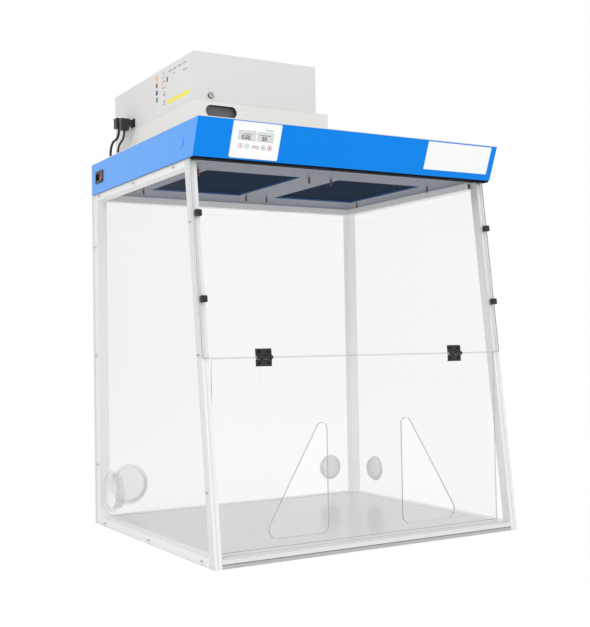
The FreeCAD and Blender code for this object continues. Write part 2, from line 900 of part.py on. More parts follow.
def make_hinges():
    for side, word in ((-1, "left"), (1, "right")):
        make_hinge_leaf(f"{word}_hinge_upper_leaf", side, (0, 2), 1, True)
        make_hinge_leaf(f"{word}_hinge_lower_leaf", side, (1, 3), -1, False)
    length = d.hinge_width + d.hinge_knuckle_gap
    pin = turned_shape("hinge_pin", [
        (0, 0), (d.hinge_pin_radius, 0), (d.hinge_pin_radius, length),
        (d.hinge_pin_head_radius, length), (d.hinge_pin_head_radius, length + d.hinge_pin_head_height),
        (0, length + d.hinge_pin_head_height),
    ])
    placements = []
    for side in (-1, 1):
        start = float((half_width - d.hinge_inset) * side - d.hinge_width / 2)
        turn = Rotation(Vector(0, 1, 0), 90)
        placements.append(Placement(Vector(start, float(hinge_y), float(hinge_z)), turn))
    group("hinge_pins", pin, placements)
    make_hinge_screws()


def make_hinge_screws():
    """Binding screws: a head on the leaf and a flat sleeve head behind the clear sheet."""
    front = d.hinge_leaf_thickness
    screw = turned_shape("hinge_screw", [
        (0, -(d.panel_thickness + d.hinge_screw_head_height)),
        (d.hinge_screw_head_radius, -(d.panel_thickness + d.hinge_screw_head_height)),
        (d.hinge_screw_head_radius, -d.panel_thickness), (d.hinge_screw_radius, -d.panel_thickness),
        (d.hinge_screw_radius, front), (d.hinge_screw_head_radius, front),
        (d.hinge_screw_head_radius, front + d.hinge_screw_head_height),
        (0, front + d.hinge_screw_head_height),
    ])
    upper = []
    lower = []
    lean = float(sash_lean)
    for side in (-1, 1):
        for x in hinge_screw_x(side):
            y, z = sash_point(d.panel_thickness, hinge_along + d.hinge_screw_rise)
            turn = Rotation(Vector(1, 0, 0), 90 - lean)
            upper.append(Placement(Vector(float(x), float(y), float(z)), turn))
            turn = Rotation(Vector(1, 0, 0), 90)
            place_z = float(hinge_z - d.hinge_screw_rise)
            lower.append(Placement(Vector(float(x), float(flap_front), place_z), turn))
    group("upper_hinge_screws", screw, upper)
    group("lower_hinge_screws", screw, lower)


def make_knobs():
    """Square thumb knobs with a collar and a stud, standing square to the leaning panel."""
    half = d.knob_width / 2
    reach = d.panel_thickness + d.knob_stud_reach
    for row, height in (("upper", d.knob_upper_height), ("lower", d.knob_lower_height)):
        for side, word in ((-1, "left"), (1, "right")):
            name = f"panel_knob_{row}_{word}"
            body = new_body(name)
            revolve(body, [
                (0, -reach), (d.knob_stud_radius, -reach), (d.knob_stud_radius, 0),
                (d.knob_collar_radius, 0), (d.knob_collar_radius, d.knob_collar_height),
                (0, d.knob_collar_height),
            ])
            head = new_sketch(body, "XY", d.knob_collar_height)
            add_rectangle(head, -half, -half, half, half)
            pad(body, head, d.knob_height - d.knob_collar_height)
            fillet(body, d.knob_corner_radius, lambda a, b: near(a.x, b.x) and near(a.y, b.y))
            fillet(body, d.knob_corner_radius / 2, lambda a, b: near(a.z, d.knob_height) and near(b.z, d.knob_height))
            y, z = sash_point(d.panel_thickness, height * sash_stretch)
            keep(name, place(body, knob_x(side), y, z, tilt=sash_square))


# Header
fascia_bottom = back_face - d.fascia_bottom_depth
fascia_top = back_face - d.fascia_top_depth
fascia_rise = (d.fascia_top_depth - d.fascia_bottom_depth) / d.header_height
fascia_stretch = root_of(fascia_rise * fascia_rise + 1)
fascia_lean = angle_of(d.fascia_top_depth - d.fascia_bottom_depth, d.header_height)
lid_bottom = header_top - d.lid_sheet


def fascia_front(height):
    """Y of the fascia's outer face at a height above the frame."""
    return fascia_bottom - fascia_rise * height


def casing_left():
    return -half_width + d.casing_left_inset


def casing_back():
    return back_face - d.casing_back_distance


def on_fascia(thing):
    """Puts a piece that was built upright on the leaning fascia."""
    return place(thing, 0, fascia_bottom, d.frame_height, tilt=fascia_lean)


def display_middle_x():
    return -(d.display_left - d.display_width / 2)


def display_middle_z():
    return d.display_rise + d.display_height / 2


def display_window(thickness, back):
    """A block of the window's size, square to the fascia."""
    half_x = d.window_width / 2
    half_z = d.window_height / 2
    x = display_middle_x()
    z = display_middle_z()
    return plate_y("display_window", rectangle(x - half_x, z - half_z, x + half_x, z + half_z), back, thickness)


def make_header_shell():
    outline = [
        (back_face, d.frame_height), (fascia_bottom, d.frame_height),
        (fascia_front(d.header_height - d.lid_sheet), lid_bottom), (back_face, lid_bottom),
    ]
    body = plate_x("header_shell", outline, -half_width, d.overall_width)
    skin = d.header_sheet
    inner = new_sketch(body, "YZ")
    lean_skin = skin * fascia_stretch
    below = d.frame_height - skin
    above = header_top
    add_outline(inner, [
        (back_face - skin, below), (fascia_front(-skin) + lean_skin, below),
        (fascia_front(d.header_height) + lean_skin, above), (back_face - skin, above),
    ])
    before = body.Tip.Shape.Volume
    hollow = body.newObject("PartDesign::Pocket", "header_hollow")
    hollow.Profile = inner
    hollow.Type = "Length"
    hollow.SideType = "Symmetric"
    bind(hollow, "Length", d.overall_width - skin * 2)
    cut_checked(body, hollow, before)
    margin = d.inlet_body_margin - d.fitting_gap
    inlet_hole = box(
        "inlet_hole", skin * 3, d.inlet_width - margin * 2, d.inlet_height - margin * 2,
        -half_width - skin, inlet_middle_y() - d.inlet_width / 2 + margin,
        inlet_middle_z() - d.inlet_height / 2 + margin,
    )
    plug_hole = cylinder(
        "plug_hole", d.plug_hole_radius, skin * 3, "X",
        -half_width - skin, plug_middle_y(), d.frame_height + d.plug_rise,
    )
    module_hole = on_fascia(display_window(skin * 4, skin * 2))
    cut("header_shell", body, [inlet_hole, plug_hole, module_hole])


def make_header_lid():
    """The top sheet, with the air opening under the filter and two holes for the leads."""
    front = fascia_front(d.header_height - d.lid_sheet)
    outline = rectangle(-half_width, front, half_width, back_face)
    body = plate_z("header_lid", outline, lid_bottom, d.lid_sheet)
    holes = new_sketch(body, "XY", lid_bottom)
    border = d.casing_top_border + d.filter_side_gap
    left = casing_left() + border
    right = casing_left() + d.casing_width - border
    back = casing_back() - border
    front = casing_back() - d.casing_depth + d.filter_finger_room + border
    add_rectangle(holes, left, front, right, back)
    pocket(body, holes)
    grommets = new_sketch(body, "XY", lid_bottom)
    for lead_x, lead_y in lead_entries():
        add_circle(grommets, lead_x, lead_y, d.lead_grommet_radius)
    pocket(body, grommets)
    keep("header_lid", body)


def opening_box(side):
    """Left, front, right and back of one ceiling opening."""
    middle = d.opening_offset * side
    back = back_face - d.opening_back_distance
    return middle - d.opening_width / 2, back - d.opening_depth, middle + d.opening_width / 2, back


def make_ceiling_plate():
    """The underside of the header: two openings with a turned-up rim."""
    side = half_width - d.header_sheet
    back = back_face - d.header_sheet
    front = fascia_front(0) + d.header_sheet * fascia_stretch
    body = plate_z("ceiling_plate", rectangle(-side, front, side, back), d.frame_height, d.ceiling_sheet)
    rims = new_sketch(body, "XY", d.frame_height)
    openings = new_sketch(body, "XY", d.frame_height)
    wall = d.ceiling_rim_wall
    for side in (-1, 1):
        left, low, right, high = opening_box(side)
        add_rectangle(rims, left - wall, low - wall, right + wall, high + wall)
        add_rectangle(openings, left, low, right, high)
    pad(body, rims, d.ceiling_sheet + d.ceiling_rim_height)
    pocket(body, openings)
    keep("ceiling_plate", body)


def make_pre_filters():
    """Filter mats in a stiff edge, lying on the rims of the ceiling openings."""
    bottom = d.frame_height + d.ceiling_sheet + d.ceiling_rim_height
    lap = d.pre_filter_lap
    for side, word in ((-1, "left"), (1, "right")):
        left, low, right, high = opening_box(side)
        outline = rectangle(left - lap, low - lap, right + lap, high + lap)
        body = plate_z(f"pre_filter_{word}", outline, bottom, d.pre_filter_height)
        sketch = new_sketch(body, "XY", bottom + d.pre_filter_height)
        add_rectangle(sketch, left, low, right, high)
        pocket(body, sketch, d.filter_recess)
        keep(f"pre_filter_{word}", body)


def make_ceiling_studs():
    stud = turned_shape("ceiling_stud", [
        (0, 0), (d.stud_radius, 0), (d.stud_radius, d.stud_length - 1), (d.stud_radius - 1, d.stud_length),
        (0, d.stud_length),
    ])
    placements = []
    turn = Rotation(Vector(1, 0, 0), 180)
    for side in (-1, 1):
        left, low, right, high = opening_box(side)
        for x in (left - d.stud_offset, right + d.stud_offset):
            for y in (low, high):
                placements.append(Placement(Vector(float(x), float(y), float(d.frame_height)), turn))
    group("ceiling_studs", stud, placements)


def make_front_seal():
    """The black strip behind the fascia's lower edge, above the upper front panel."""
    front = fascia_bottom
    outline = rectangle(front, seal_bottom, front + d.seal_depth, d.frame_height)
    keep("front_seal", plate_x("front_seal", outline, -frame_side, frame_side * 2))


def make_display():
    x = display_middle_x()
    z = display_middle_z()
    half_x = d.display_width / 2
    half_z = d.display_height / 2
    body = plate_y(
        "display_bezel", rectangle(x - half_x, z - half_z, x + half_x, z + half_z), 0, d.display_thickness
    )

    def corner(a, b):
        across = near(a.x, b.x) and near(a.z, b.z)
        return across and near(abs(a.x - float(x)), half_x) and near(abs(a.z - float(z)), half_z)

    fillet(body, d.display_corner_radius, corner)
    window = new_sketch(body, "XZ")
    half_x = d.window_width / 2
    half_z = d.window_height / 2
    add_rectangle(window, x - half_x, z - half_z, x + half_x, z + half_z)
    pocket(body, window)
    keep("display_bezel", on_fascia(body))
    depth = d.display_thickness - d.window_drop + d.display_module_depth
    module = display_window(depth, d.display_module_depth)
    keep("display_glass", on_fascia(module))


# Mains inlet with its switch, in the header's left side
def inlet_middle_y():
    return back_face - d.inlet_back_distance


def inlet_middle_z():
    return d.frame_height + d.inlet_rise


def make_power_module():
    """One moulding: flange, body, socket well with three contacts, and the well of the switch."""
    y = inlet_middle_y()
    z = inlet_middle_z()
    outer_x = -half_width - d.inlet_flange
    half_y = d.inlet_width / 2
    half_z = d.inlet_height / 2
    body = plate_x(
        "power_module", rectangle(y - half_y, z - half_z, y + half_y, z + half_z), outer_x, d.inlet_flange
    )
    margin = d.inlet_body_margin
    inside = new_sketch(body, "YZ", -half_width)
    add_rectangle(inside, y - half_y + margin, z - half_z + margin, y + half_y - margin, z + half_z - margin)
    pad(body, inside, d.inlet_body_depth)
    well = new_sketch(body, "YZ", outer_x)
    middle = y + d.socket_offset
    side = d.socket_width / 2
    top = z + d.socket_height / 2
    low = z - d.socket_height / 2
    corner = d.socket_chamfer
    add_outline(well, [
        (middle - side, low), (middle + side, low), (middle + side, top - corner),
        (middle + side - corner, top), (middle - side + corner, top), (middle - side, top - corner),
    ])
    pocket(body, well, d.socket_depth, reverse=True)
    switch = new_sketch(body, "YZ", outer_x)
    gap = d.fitting_gap
    middle = rocker_middle_y()
    add_rectangle(
        switch, middle - d.rocker_width / 2 - gap, z - d.rocker_height / 2 - gap,
        middle + d.rocker_width / 2 + gap, z + d.rocker_height / 2 + gap,
    )
    pocket(body, switch, d.rocker_depth + d.inlet_flange, reverse=True)
    contacts = new_sketch(body, "YZ", outer_x + d.inlet_flange)
    for step, rise in ((-1, 0), (0, 1), (1, 0)):
        middle = y + d.socket_offset + d.contact_spacing * step
        height = z + d.contact_thickness * rise
        half = d.contact_thickness / 2
        add_rectangle(
            contacts, middle - half, height - d.contact_width / 2, middle + half, height + d.contact_width / 2
        )
    pad(body, contacts, d.socket_depth)
    axle = new_sketch(body, "XZ", -(rocker_middle_y() + d.rocker_width / 2 + gap))
    add_circle(axle, rocker_pivot_x(), z, d.rocker_axle_radius)
    pad(body, axle, d.rocker_width + gap * 2)
    keep("power_module", body)


def rocker_middle_y():
    return inlet_middle_y() - d.rocker_offset


def rocker_pivot_x():
    return -half_width - d.inlet_flange + d.rocker_depth / 2


def make_rocker():
    """The switch: a shallow V in section on an axle, resting with its upper end pressed in."""
    body = new_body("power_rocker")
    sketch = new_sketch(body, "XZ", -d.rocker_width / 2)
    half = d.rocker_height / 2 - d.fitting_gap
    front = -d.rocker_depth / 2 - d.rocker_proud / 3
    back = d.rocker_depth / 2 - d.rocker_proud / 3
    waist = -d.rocker_depth / 7
    add_outline(sketch, [
        (front, -half), (front + d.rocker_proud, 0), (front, half), (waist, half),
        (back, half / 3), (back, -half / 3), (waist, -half),
    ])
    pad(body, sketch, d.rocker_width)
    bore = new_sketch(body, "XZ")
    add_circle(bore, 0, 0, d.rocker_axle_radius + d.running_clearance)
    pocket(body, bore)
    place(body, rocker_pivot_x(), rocker_middle_y(), inlet_middle_z(), roll=d.rocker_tilt)
    keep("power_rocker", body)


def plug_middle_y():
    return fascia_bottom + d.plug_front_distance - (d.fascia_top_depth - d.fascia_bottom_depth)


def make_blanking_plug():
    body = new_body("blanking_plug")
    revolve(body, [
        (0, 0), (d.plug_radius, 0), (d.plug_radius, d.plug_head / 2), (d.plug_radius - d.plug_head / 2, d.plug_head),
        (0, d.plug_head),
    ])
    collar = new_sketch(body, "XY")
    add_circle(collar, 0, 0, d.plug_hole_radius - d.fitting_gap)
    feature = pad(body, collar, d.header_sheet * 3)
    feature.Reversed = True
    keep("blanking_plug", place(body, -half_width, plug_middle_y(), d.frame_height + d.plug_rise, roll=-90))


# Filter casing and carbon filter
def make_filter_casing():
    left = casing_left()
    right = left + d.casing_width
    back = casing_back()
    front = back - d.casing_depth
    body = plate_z("filter_casing", rectangle(left, front, right, back), header_top, d.casing_height)
    skin = d.casing_sheet
    hollow = new_sketch(body, "XY", header_top)
    add_rectangle(hollow, left + skin, front + skin, right - skin, back - skin)
    pocket(body, hollow, d.casing_height - skin, reverse=True)
    air = new_sketch(body, "XY", header_top + d.casing_height)
    border = d.casing_top_border
    fan_right = left + d.fan_width
    add_rectangle(air, left + border, front + d.filter_finger_room + border, fan_right - border, back - border)
    pocket(body, air, skin * 2)
    middle = left + d.hand_slot_inset
    height = header_top + d.casing_height - d.hand_slot_drop
    radius = d.hand_slot_height / 2
    reach = d.hand_slot_width / 2 - radius
    tools = [
        box("hand_slot", reach * 2, skin * 4, radius * 2, middle - reach, front - skin, height - radius),
        cylinder("hand_slot_left", radius, skin * 4, "Y", middle - reach, front - skin, height),
        cylinder("hand_slot_right", radius, skin * 4, "Y", middle + reach, front - skin, height),
    ]
    cut("filter_casing", body, tools)


def make_carbon_filter():
    """The cartridge: a frame round a granule bed that lies a little below its edges."""
    gap = d.filter_side_gap + d.casing_sheet
    left = casing_left() + gap
    right = casing_left() + d.casing_width - gap
    back = casing_back() - gap
    front = casing_back() - d.casing_depth + d.filter_finger_room
    body = plate_z("carbon_filter", rectangle(left, front, right, back), header_top, d.filter_height)
    edge = d.filter_frame
    for height, reverse in ((header_top, True), (header_top + d.filter_height, False)):
        sketch = new_sketch(body, "XY", height)
        add_rectangle(sketch, left + edge, front + edge, right - edge, back - edge)
        pocket(body, sketch, d.filter_recess, reverse=reverse)
    keep("carbon_filter", body)


# Fan unit
fan_bottom = header_top + d.casing_height
fan_top = fan_bottom + d.fan_height


def fan_middle():
    return casing_left() + d.fan_width / 2, casing_back() - d.casing_depth / 2


def fan_box():
    left = casing_left()
    back = casing_back()
    return left, back - d.casing_depth, left + d.fan_width, back


def make_fan_housing():
    left, front, right, back = fan_box()
    body = plate_z("fan_housing", rectangle(left, front, right, back), fan_bottom, d.fan_height)
    skin = d.fan_sheet
    hollow = new_sketch(body, "XY", fan_bottom)
    add_rectangle(hollow, left + skin, front + skin, right - skin, back - skin)
    pocket(body, hollow, d.fan_height - skin, reverse=True)
    outlet = new_sketch(body, "XY", fan_top)
    x = fan_middle()[0]
    outlet_back = back - d.grille_back_distance
    add_rectangle(outlet, x - d.grille_width / 2, outlet_back - d.grille_depth, x + d.grille_width / 2, outlet_back)
    pocket(body, outlet, skin * 2)
    sample = cylinder(
        "sample_hole", d.sample_hole_radius, skin * 3, "Y",
        left + d.sample_inset, front - skin, fan_bottom + d.sample_rise,
    )
    cut("fan_housing", body, [sample])


def make_outlet_grille():
    left, front, right, back = fan_box()
    x = fan_middle()[0]
    lap = d.grille_lap
    outlet_back = back - d.grille_back_distance
    half = d.grille_width / 2
    outlet_front = outlet_back - d.grille_depth
    bottom = fan_top - d.fan_sheet - d.grille_sheet
    body = plate_z(
        "outlet_grille", rectangle(x - half - lap, outlet_front - lap, x + half + lap, outlet_back + lap),
        bottom, d.grille_sheet,
    )
    pitch = d.grille_width / d.grille_slot_count
    slot = new_sketch(body, "XY", bottom)
    start = x - half + (pitch - d.grille_slot) / 2
    add_rectangle(slot, start, outlet_front + lap, start + d.grille_slot, outlet_back - lap)
    before = body.Tip.Shape.Volume
    first = body.newObject("PartDesign::Pocket", "grille_slot")
    first.Profile = slot
    first.Type = "ThroughAll"
    first.SideType = "Symmetric"
    cut_checked(body, first, before)
    row = body.newObject("PartDesign::LinearPattern", "grille_slots")
    row.Originals = [first]
    row.Direction = (slot, ["H_Axis"])
    bind(row, "Length", d.grille_width - pitch)
    bind(row, "Occurrences", d.grille_slot_count)
    body.Tip = row
    keep("outlet_grille", body)


def make_fan_base_plate():
    """Floor of the fan unit with the rounded inlet mouth that guides air into the wheel."""
    left, front, right, back = fan_box()
    skin = d.fan_sheet
    body = plate_z(
        "fan_base_plate", rectangle(left + skin, front + skin, right - skin, back - skin), fan_bottom, skin
    )
    x, y = fan_middle()
    lip = new_sketch(body, "XY", fan_bottom)
    add_circle(lip, x, y, d.fan_inlet_radius + skin)
    pad(body, lip, d.fan_inlet_lip + skin)
    mouth = new_sketch(body, "XY", fan_bottom)
    add_circle(mouth, x, y, d.fan_inlet_radius)
    pocket(body, mouth)
    keep("fan_base_plate", body)


wheel_bottom = fan_bottom + d.fan_sheet + d.wheel_floor_gap
wheel_top = wheel_bottom + d.wheel_height


def make_impeller():
    """Fan wheel: shroud ring, backward-curved blades, back plate and hub on one axis."""
    body = new_body("impeller")
    plate = d.wheel_plate
    eye = d.fan_inlet_radius + d.fan_sheet + d.wheel_eye_gap
    bore = d.motor_shaft_radius + d.running_clearance
    top = d.wheel_height
    revolve(body, [
        (bore, top - d.hub_height), (d.hub_radius, top - d.hub_height), (d.hub_radius, top - plate),
        (d.wheel_radius, top - plate), (d.wheel_radius, top), (bore, top),
    ])
    shroud = new_sketch(body, "XY")
    add_circle(shroud, 0, 0, d.wheel_radius)
    add_circle(shroud, 0, 0, eye)
    blades = new_sketch(body, "XY")
    add_blade(blades)
    blade = body.newObject("PartDesign::Pad", "blade")
    blade.Profile = blades
    bind(blade, "Length", top)
    doc.recompute()
    ring = body.newObject("PartDesign::PolarPattern", "blades")
    ring.Originals = [blade]
    ring.Axis = (blades, ["N_Axis"])
    ring.Angle = 360
    bind(ring, "Occurrences", d.blade_count)
    doc.recompute()
    body.Tip = ring
    pad(body, shroud, plate)
    x, y = fan_middle()
    keep("impeller", place(body, x, y, wheel_bottom))


def add_blade(sketch):
    """A curved blade between two arcs, leaning back from the inner radius to the rim."""
    inner = float(d.blade_inner_radius)
    outer = float(d.wheel_radius - d.blade_rim_inset)
    sweep = math.radians(float(d.blade_sweep))
    half = math.radians(float(d.blade_sweep)) / 2
    thick = float(d.blade_thickness)

    def polar(radius, angle):
        return Vector(radius * math.cos(angle), radius * math.sin(angle), 0)

    start = polar(inner, 0)
    end = polar(outer, sweep)
    chord = end.sub(start)
    side = Vector(-chord.y, chord.x, 0).normalize()
    bulge = start.add(chord.multiply(0.5)).sub(side.multiply(chord.Length * math.tan(half / 2)))
    side = Vector(-end.sub(start).y, end.sub(start).x, 0).normalize()
    shift = side.multiply(thick)
    outer_arc = Part.Arc(start, bulge, end)
    inner_arc = Part.Arc(start.add(shift), bulge.add(shift), end.add(shift))
    sketch.addGeometry(outer_arc, False)
    sketch.addGeometry(Part.LineSegment(end, end.add(shift)), False)
    sketch.addGeometry(inner_arc, False)
    sketch.addGeometry(Part.LineSegment(start.add(shift), start), False)


def make_fan_motor():
    """Motor can under a bracket that crosses the housing, with its shaft down through the hub."""
    x, y = fan_middle()
    left, front, right, back = fan_box()
    bracket_top = fan_top - d.fan_sheet
    can_bottom = wheel_top + d.wheel_eye_gap
    body = new_body("fan_motor")
    revolve(body, [
        (0, wheel_top - d.hub_height - fan_bottom), (d.motor_shaft_radius, wheel_top - d.hub_height - fan_bottom),
        (d.motor_shaft_radius, can_bottom - fan_bottom), (d.motor_radius - 4, can_bottom - fan_bottom),
        (d.motor_radius, can_bottom + 4 - fan_bottom),
        (d.motor_radius, bracket_top - d.bracket_sheet - fan_bottom), (0, bracket_top - d.bracket_sheet - fan_bottom),
    ])
    bracket = new_sketch(body, "XY", bracket_top - d.bracket_sheet - fan_bottom)
    reach = d.fan_width / 2 - d.fan_sheet
    add_rectangle(bracket, -reach, -d.bracket_width / 2, reach, d.bracket_width / 2)
    pad(body, bracket, d.bracket_sheet)
    keep("fan_motor", place(body, x, y, fan_bottom))


def make_sampling_plug():
    body = new_body("sampling_plug")
    head = d.sample_head
    revolve(body, [
        (0, -d.fan_sheet * 5), (d.sample_hole_radius - d.fitting_gap, -d.fan_sheet * 5),
        (d.sample_hole_radius - d.fitting_gap, 0), (d.sample_radius, 0), (d.sample_radius, head - 1),
        (d.sample_radius - 1, head), (d.sample_radius - 3, head), (d.sample_radius - 3, head - 1.5),
        (0, head - 1.5),
    ])
    left, front, right, back = fan_box()
    keep("sampling_plug", place(body, left + d.sample_inset, front, fan_bottom + d.sample_rise, tilt=90))


# Cable port caps
def make_port_caps():
    """Push-in caps: a flange on the inside of the wall and a cup that closes the hole."""
    for name, (wall, along, size) in port_centres().items():
        cap, hole, depth = port_sizes(size)
        body = new_body(name)
        skin = d.cap_wall
        neck = hole - d.fitting_gap
        revolve(body, [
            (0, depth - skin), (neck - skin, depth - skin), (neck - skin, -d.panel_thickness),
            (neck, -d.panel_thickness), (neck, 0), (cap, 0), (cap, d.cap_flange / 2),
            (cap - d.cap_flange / 2, d.cap_flange), (neck, d.cap_flange), (neck, depth - skin / 2),
            (neck - skin / 2, depth), (0, depth),
        ])
        if wall == "back":
            place(body, along, frame_back, d.port_rise, tilt=90)
        else:
            sign = 1 if wall == "left" else -1
            place(body, -frame_side * sign, along, d.port_rise, roll=90 * sign)
        keep(name, body)


# Leads between the fan unit and the header
def lead_route(plug_back, plug_bottom, drop, reach, fall):
    """From the plug down, back along the housing and down again to the gland in the lid."""
    x = -half_width + d.lead_inset
    start_y = casing_back() - plug_back
    end_y = start_y + reach
    bend = plug_bottom - drop
    gland_top = header_top + d.lead_grommet_height
    route = [(x, start_y, plug_bottom), (x, start_y, bend), (x, end_y, bend - fall), (x, end_y, gland_top)]
    return [tuple(float(value) for value in point) for point in route]


def power_route():
    bottom = fan_bottom + d.power_plug_rise
    return lead_route(d.power_plug_back, bottom, d.power_lead_drop, d.power_lead_reach, d.power_lead_fall)


def control_route():
    bottom = fan_bottom - d.control_plug_drop
    return lead_route(
        d.control_plug_back, bottom, d.control_lead_drop, d.control_lead_reach, d.control_lead_fall
    )


def lead_entries():
    """Where the two leads go through the lid."""
    x = -half_width + d.lead_inset
    power_y = casing_back() - d.power_plug_back + d.power_lead_reach
    control_y = casing_back() - d.control_plug_back + d.control_lead_reach
    return [(x, power_y), (x, control_y)]


def make_lead(name, route, radius):
    """A tube of straight runs joined by arcs that touch both runs."""
    points = [Vector(*p) for p in route]
    last_corner = len(points) - 2
    edges = []
    radii = []
    start = points[0]
    for i in range(1, last_corner + 1):
        into = points[i].sub(points[i - 1])
        out = points[i + 1].sub(points[i])
        turn = into.getAngle(out)
        # An end run carries one bend, so the bend may take nearly all of it.
        room_in = into.Length * (0.9 if i == 1 else 0.45)
        room_out = out.Length * (0.9 if i == last_corner else 0.45)
        reach = min(room_in, room_out)
        bend = reach / math.tan(turn / 2)
        radii.append(round(bend, 1))
        first = points[i].sub(into.normalize().multiply(reach))
        last = points[i].add(out.normalize().multiply(reach))
        inward = first.add(last).multiply(0.5).sub(points[i]).normalize()
        middle = points[i].add(inward.multiply(bend / math.cos(turn / 2) - bend))
        edges.append(Part.LineSegment(start, first).toShape())
        edges.append(Part.Arc(first, middle, last).toShape())
        start = last
    tail = points[-1].sub(Vector(0, 0, float(d.lead_grommet_height + d.lead_tail)))
    edges.append(Part.LineSegment(start, tail).toShape())
    path = Part.Wire(edges)
    ring = Part.Wire(Part.makeCircle(float(radius), points[0], points[1].sub(points[0])))
    tube = path.makePipeShell([ring], True, False)
    thing = doc.addObject("Part::Feature", name)
    thing.Shape = tube
    thing.Placement = Placement()
    share = tube.Volume / (math.pi * float(radius) ** 2 * path.Length)
    print(f"{name}: length {path.Length:.1f}, volume {share:.4f} of section times length, radii {radii}")
    keep(name, thing)


def make_leads():
    make_lead("power_lead", power_route(), d.power_lead_radius)
    make_lead("control_lead", control_route(), d.control_lead_radius)
    rings = []
    for (x, y), radius in zip(lead_entries(), (d.power_lead_radius, d.control_lead_radius)):
        ring = new_body("lead_gland")
        outer = d.lead_grommet_radius
        lip = outer + d.lead_grommet_lap
        reach = d.lead_grommet_height
        under = -d.lid_sheet
        revolve(ring, [
            (radius, under - reach), (lip, under - reach), (lip, under), (outer, under), (outer, 0),
            (lip, 0), (lip, reach / 2), (lip - reach / 2, reach), (radius, reach),
        ])
        place(ring, x, y, header_top)
        doc.recompute()
        rings.append(ring.Shape.copy())
    keep_solids("lead_glands", rings)


def make_plug(name, start, width, height):
    """A right-angle plug: an upright body over the lead and a nose that meets the socket."""
    x, y, z = start
    half_x = d.lead_plug_depth / 2
    half_y = width / 2
    body = plate_z(name, rectangle(x - half_x, y - half_y, x + half_x, y + half_y), z, height)

    def upright(a, b):
        return near(a.x, b.x) and near(a.y, b.y)

    fillet(body, 3, upright)
    nose = new_sketch(body, "YZ", x)
    top = z + height - 2
    add_rectangle(nose, y - half_y + 2, top - d.lead_plug_nose * 2, y + half_y - 2, top)
    pad(body, nose, casing_left() - d.fan_socket_flange - x)
    keep(name, body)


def make_fan_connectors():
    left = casing_left()
    sockets = []
    for name, start, width, height in (
        ("power_plug", power_route()[0], d.power_plug_width, d.power_plug_height),
        ("control_plug", control_route()[0], d.control_plug_width, d.control_plug_height),
    ):
        make_plug(name, start, width, height)
        x, y, z = start
        middle = z + float(height - 2 - d.lead_plug_nose)
        wide = float(d.fan_socket_width)
        tall = float(d.fan_socket_height)
        flange = float(d.fan_socket_flange)
        corner = Vector(float(left) - flange, y - wide / 2, middle - tall / 2)
        sockets.append(Part.makeBox(flange, wide, tall, corner))
    keep_solids("fan_sockets", sockets)


def check_and_write():
    doc.recompute()
    for thing in doc.Objects:
        if "Invalid" in thing.State or "Error" in thing.State:
            raise ValueError(f"{thing.Label} is {thing.State}")
    for label, thing in parts.items():
        shape = thing.Shape
        if shape.isNull() or not shape.isValid():
            raise ValueError(f"{label} has no valid shape")
        shape.exportStep(f"parts/{label}.step")
        print(f"{label}: {len(shape.Solids)} solids, {shape.Volume:.0f} mm3")
    print(len(parts), "sub-parts")


make_frame()
make_tray()
make_side_panels()
make_back_panel()
make_side_screws()
make_upper_front_panel()
make_lower_front_panel()
make_hinges()
make_knobs()
make_header_shell()
make_header_lid()
make_ceiling_plate()
make_pre_filters()
make_ceiling_studs()
make_front_seal()
make_display()
make_power_module()
make_rocker()
make_blanking_plug()
make_filter_casing()
make_carbon_filter()
make_fan_housing()
make_outlet_grille()
make_fan_base_plate()
make_impeller()
make_fan_motor()
make_sampling_plug()
make_port_caps()
make_leads()
make_fan_connectors()
check_and_write()
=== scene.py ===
# %% [markdown]
# # A ductless fume hood, dressed for a picture
#
# The solids of the hood come ready from its CAD model: frame, clear sheets, header, filter casing and
# fan unit. This lesson gives each of them the finish that the real piece has, and adds what is too
# thin to be a solid, such as printed labels and the picture on the display. The solids keep their
# place and their points. Only their materials, and modifiers on top of them, change here.

# %% Load the solids
import math

import bmesh
import bpy
from mathutils import Matrix, Vector


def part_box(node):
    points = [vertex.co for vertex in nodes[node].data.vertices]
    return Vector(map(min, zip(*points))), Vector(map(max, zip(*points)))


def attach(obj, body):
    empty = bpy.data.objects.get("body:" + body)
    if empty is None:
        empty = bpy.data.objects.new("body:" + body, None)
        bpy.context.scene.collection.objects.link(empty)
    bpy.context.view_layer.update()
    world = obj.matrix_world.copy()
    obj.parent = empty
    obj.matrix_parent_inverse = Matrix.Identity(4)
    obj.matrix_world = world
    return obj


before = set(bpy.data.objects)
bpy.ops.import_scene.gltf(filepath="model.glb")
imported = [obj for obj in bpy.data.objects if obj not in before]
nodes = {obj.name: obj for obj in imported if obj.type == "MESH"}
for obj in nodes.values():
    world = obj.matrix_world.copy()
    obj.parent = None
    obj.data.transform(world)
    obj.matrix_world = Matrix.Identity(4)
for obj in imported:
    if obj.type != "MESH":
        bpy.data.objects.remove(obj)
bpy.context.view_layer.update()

MM = 0.001

# %% [markdown]
# ## Colours and nodes
#
# Paint charts and screens give colours as sRGB hex values, but a renderer adds up light, so it needs
# linear numbers. One function does that change for every colour below. A second one adds a shader
# node, sets its values and joins its inputs, which keeps each finish short enough to read.

# %% Colour and node helpers
def linear(hex_colour):
    """An sRGB hex colour as linear RGBA."""
    channels = [int(hex_colour[i:i + 2], 16) / 255 for i in (1, 3, 5)]
    return [c / 12.92 if c <= 0.04045 else ((c + 0.055) / 1.055) ** 2.4 for c in channels] + [1.0]


def add(tree, kind, values=None, links=None):
    """Adds a node. values sets its options and sockets, links joins its inputs to other sockets."""
    node = tree.nodes.new(kind)
    for name, value in (values or {}).items():
        if isinstance(name, int) or name in node.inputs:
            node.inputs[name].default_value = value
        else:
            setattr(node, name, value)
    for name, socket in (links or {}).items():
        tree.links.new(socket, node.inputs[name])
    return node


print("half grey, #808080, is", round(linear("#808080")[0], 3), "in linear light")

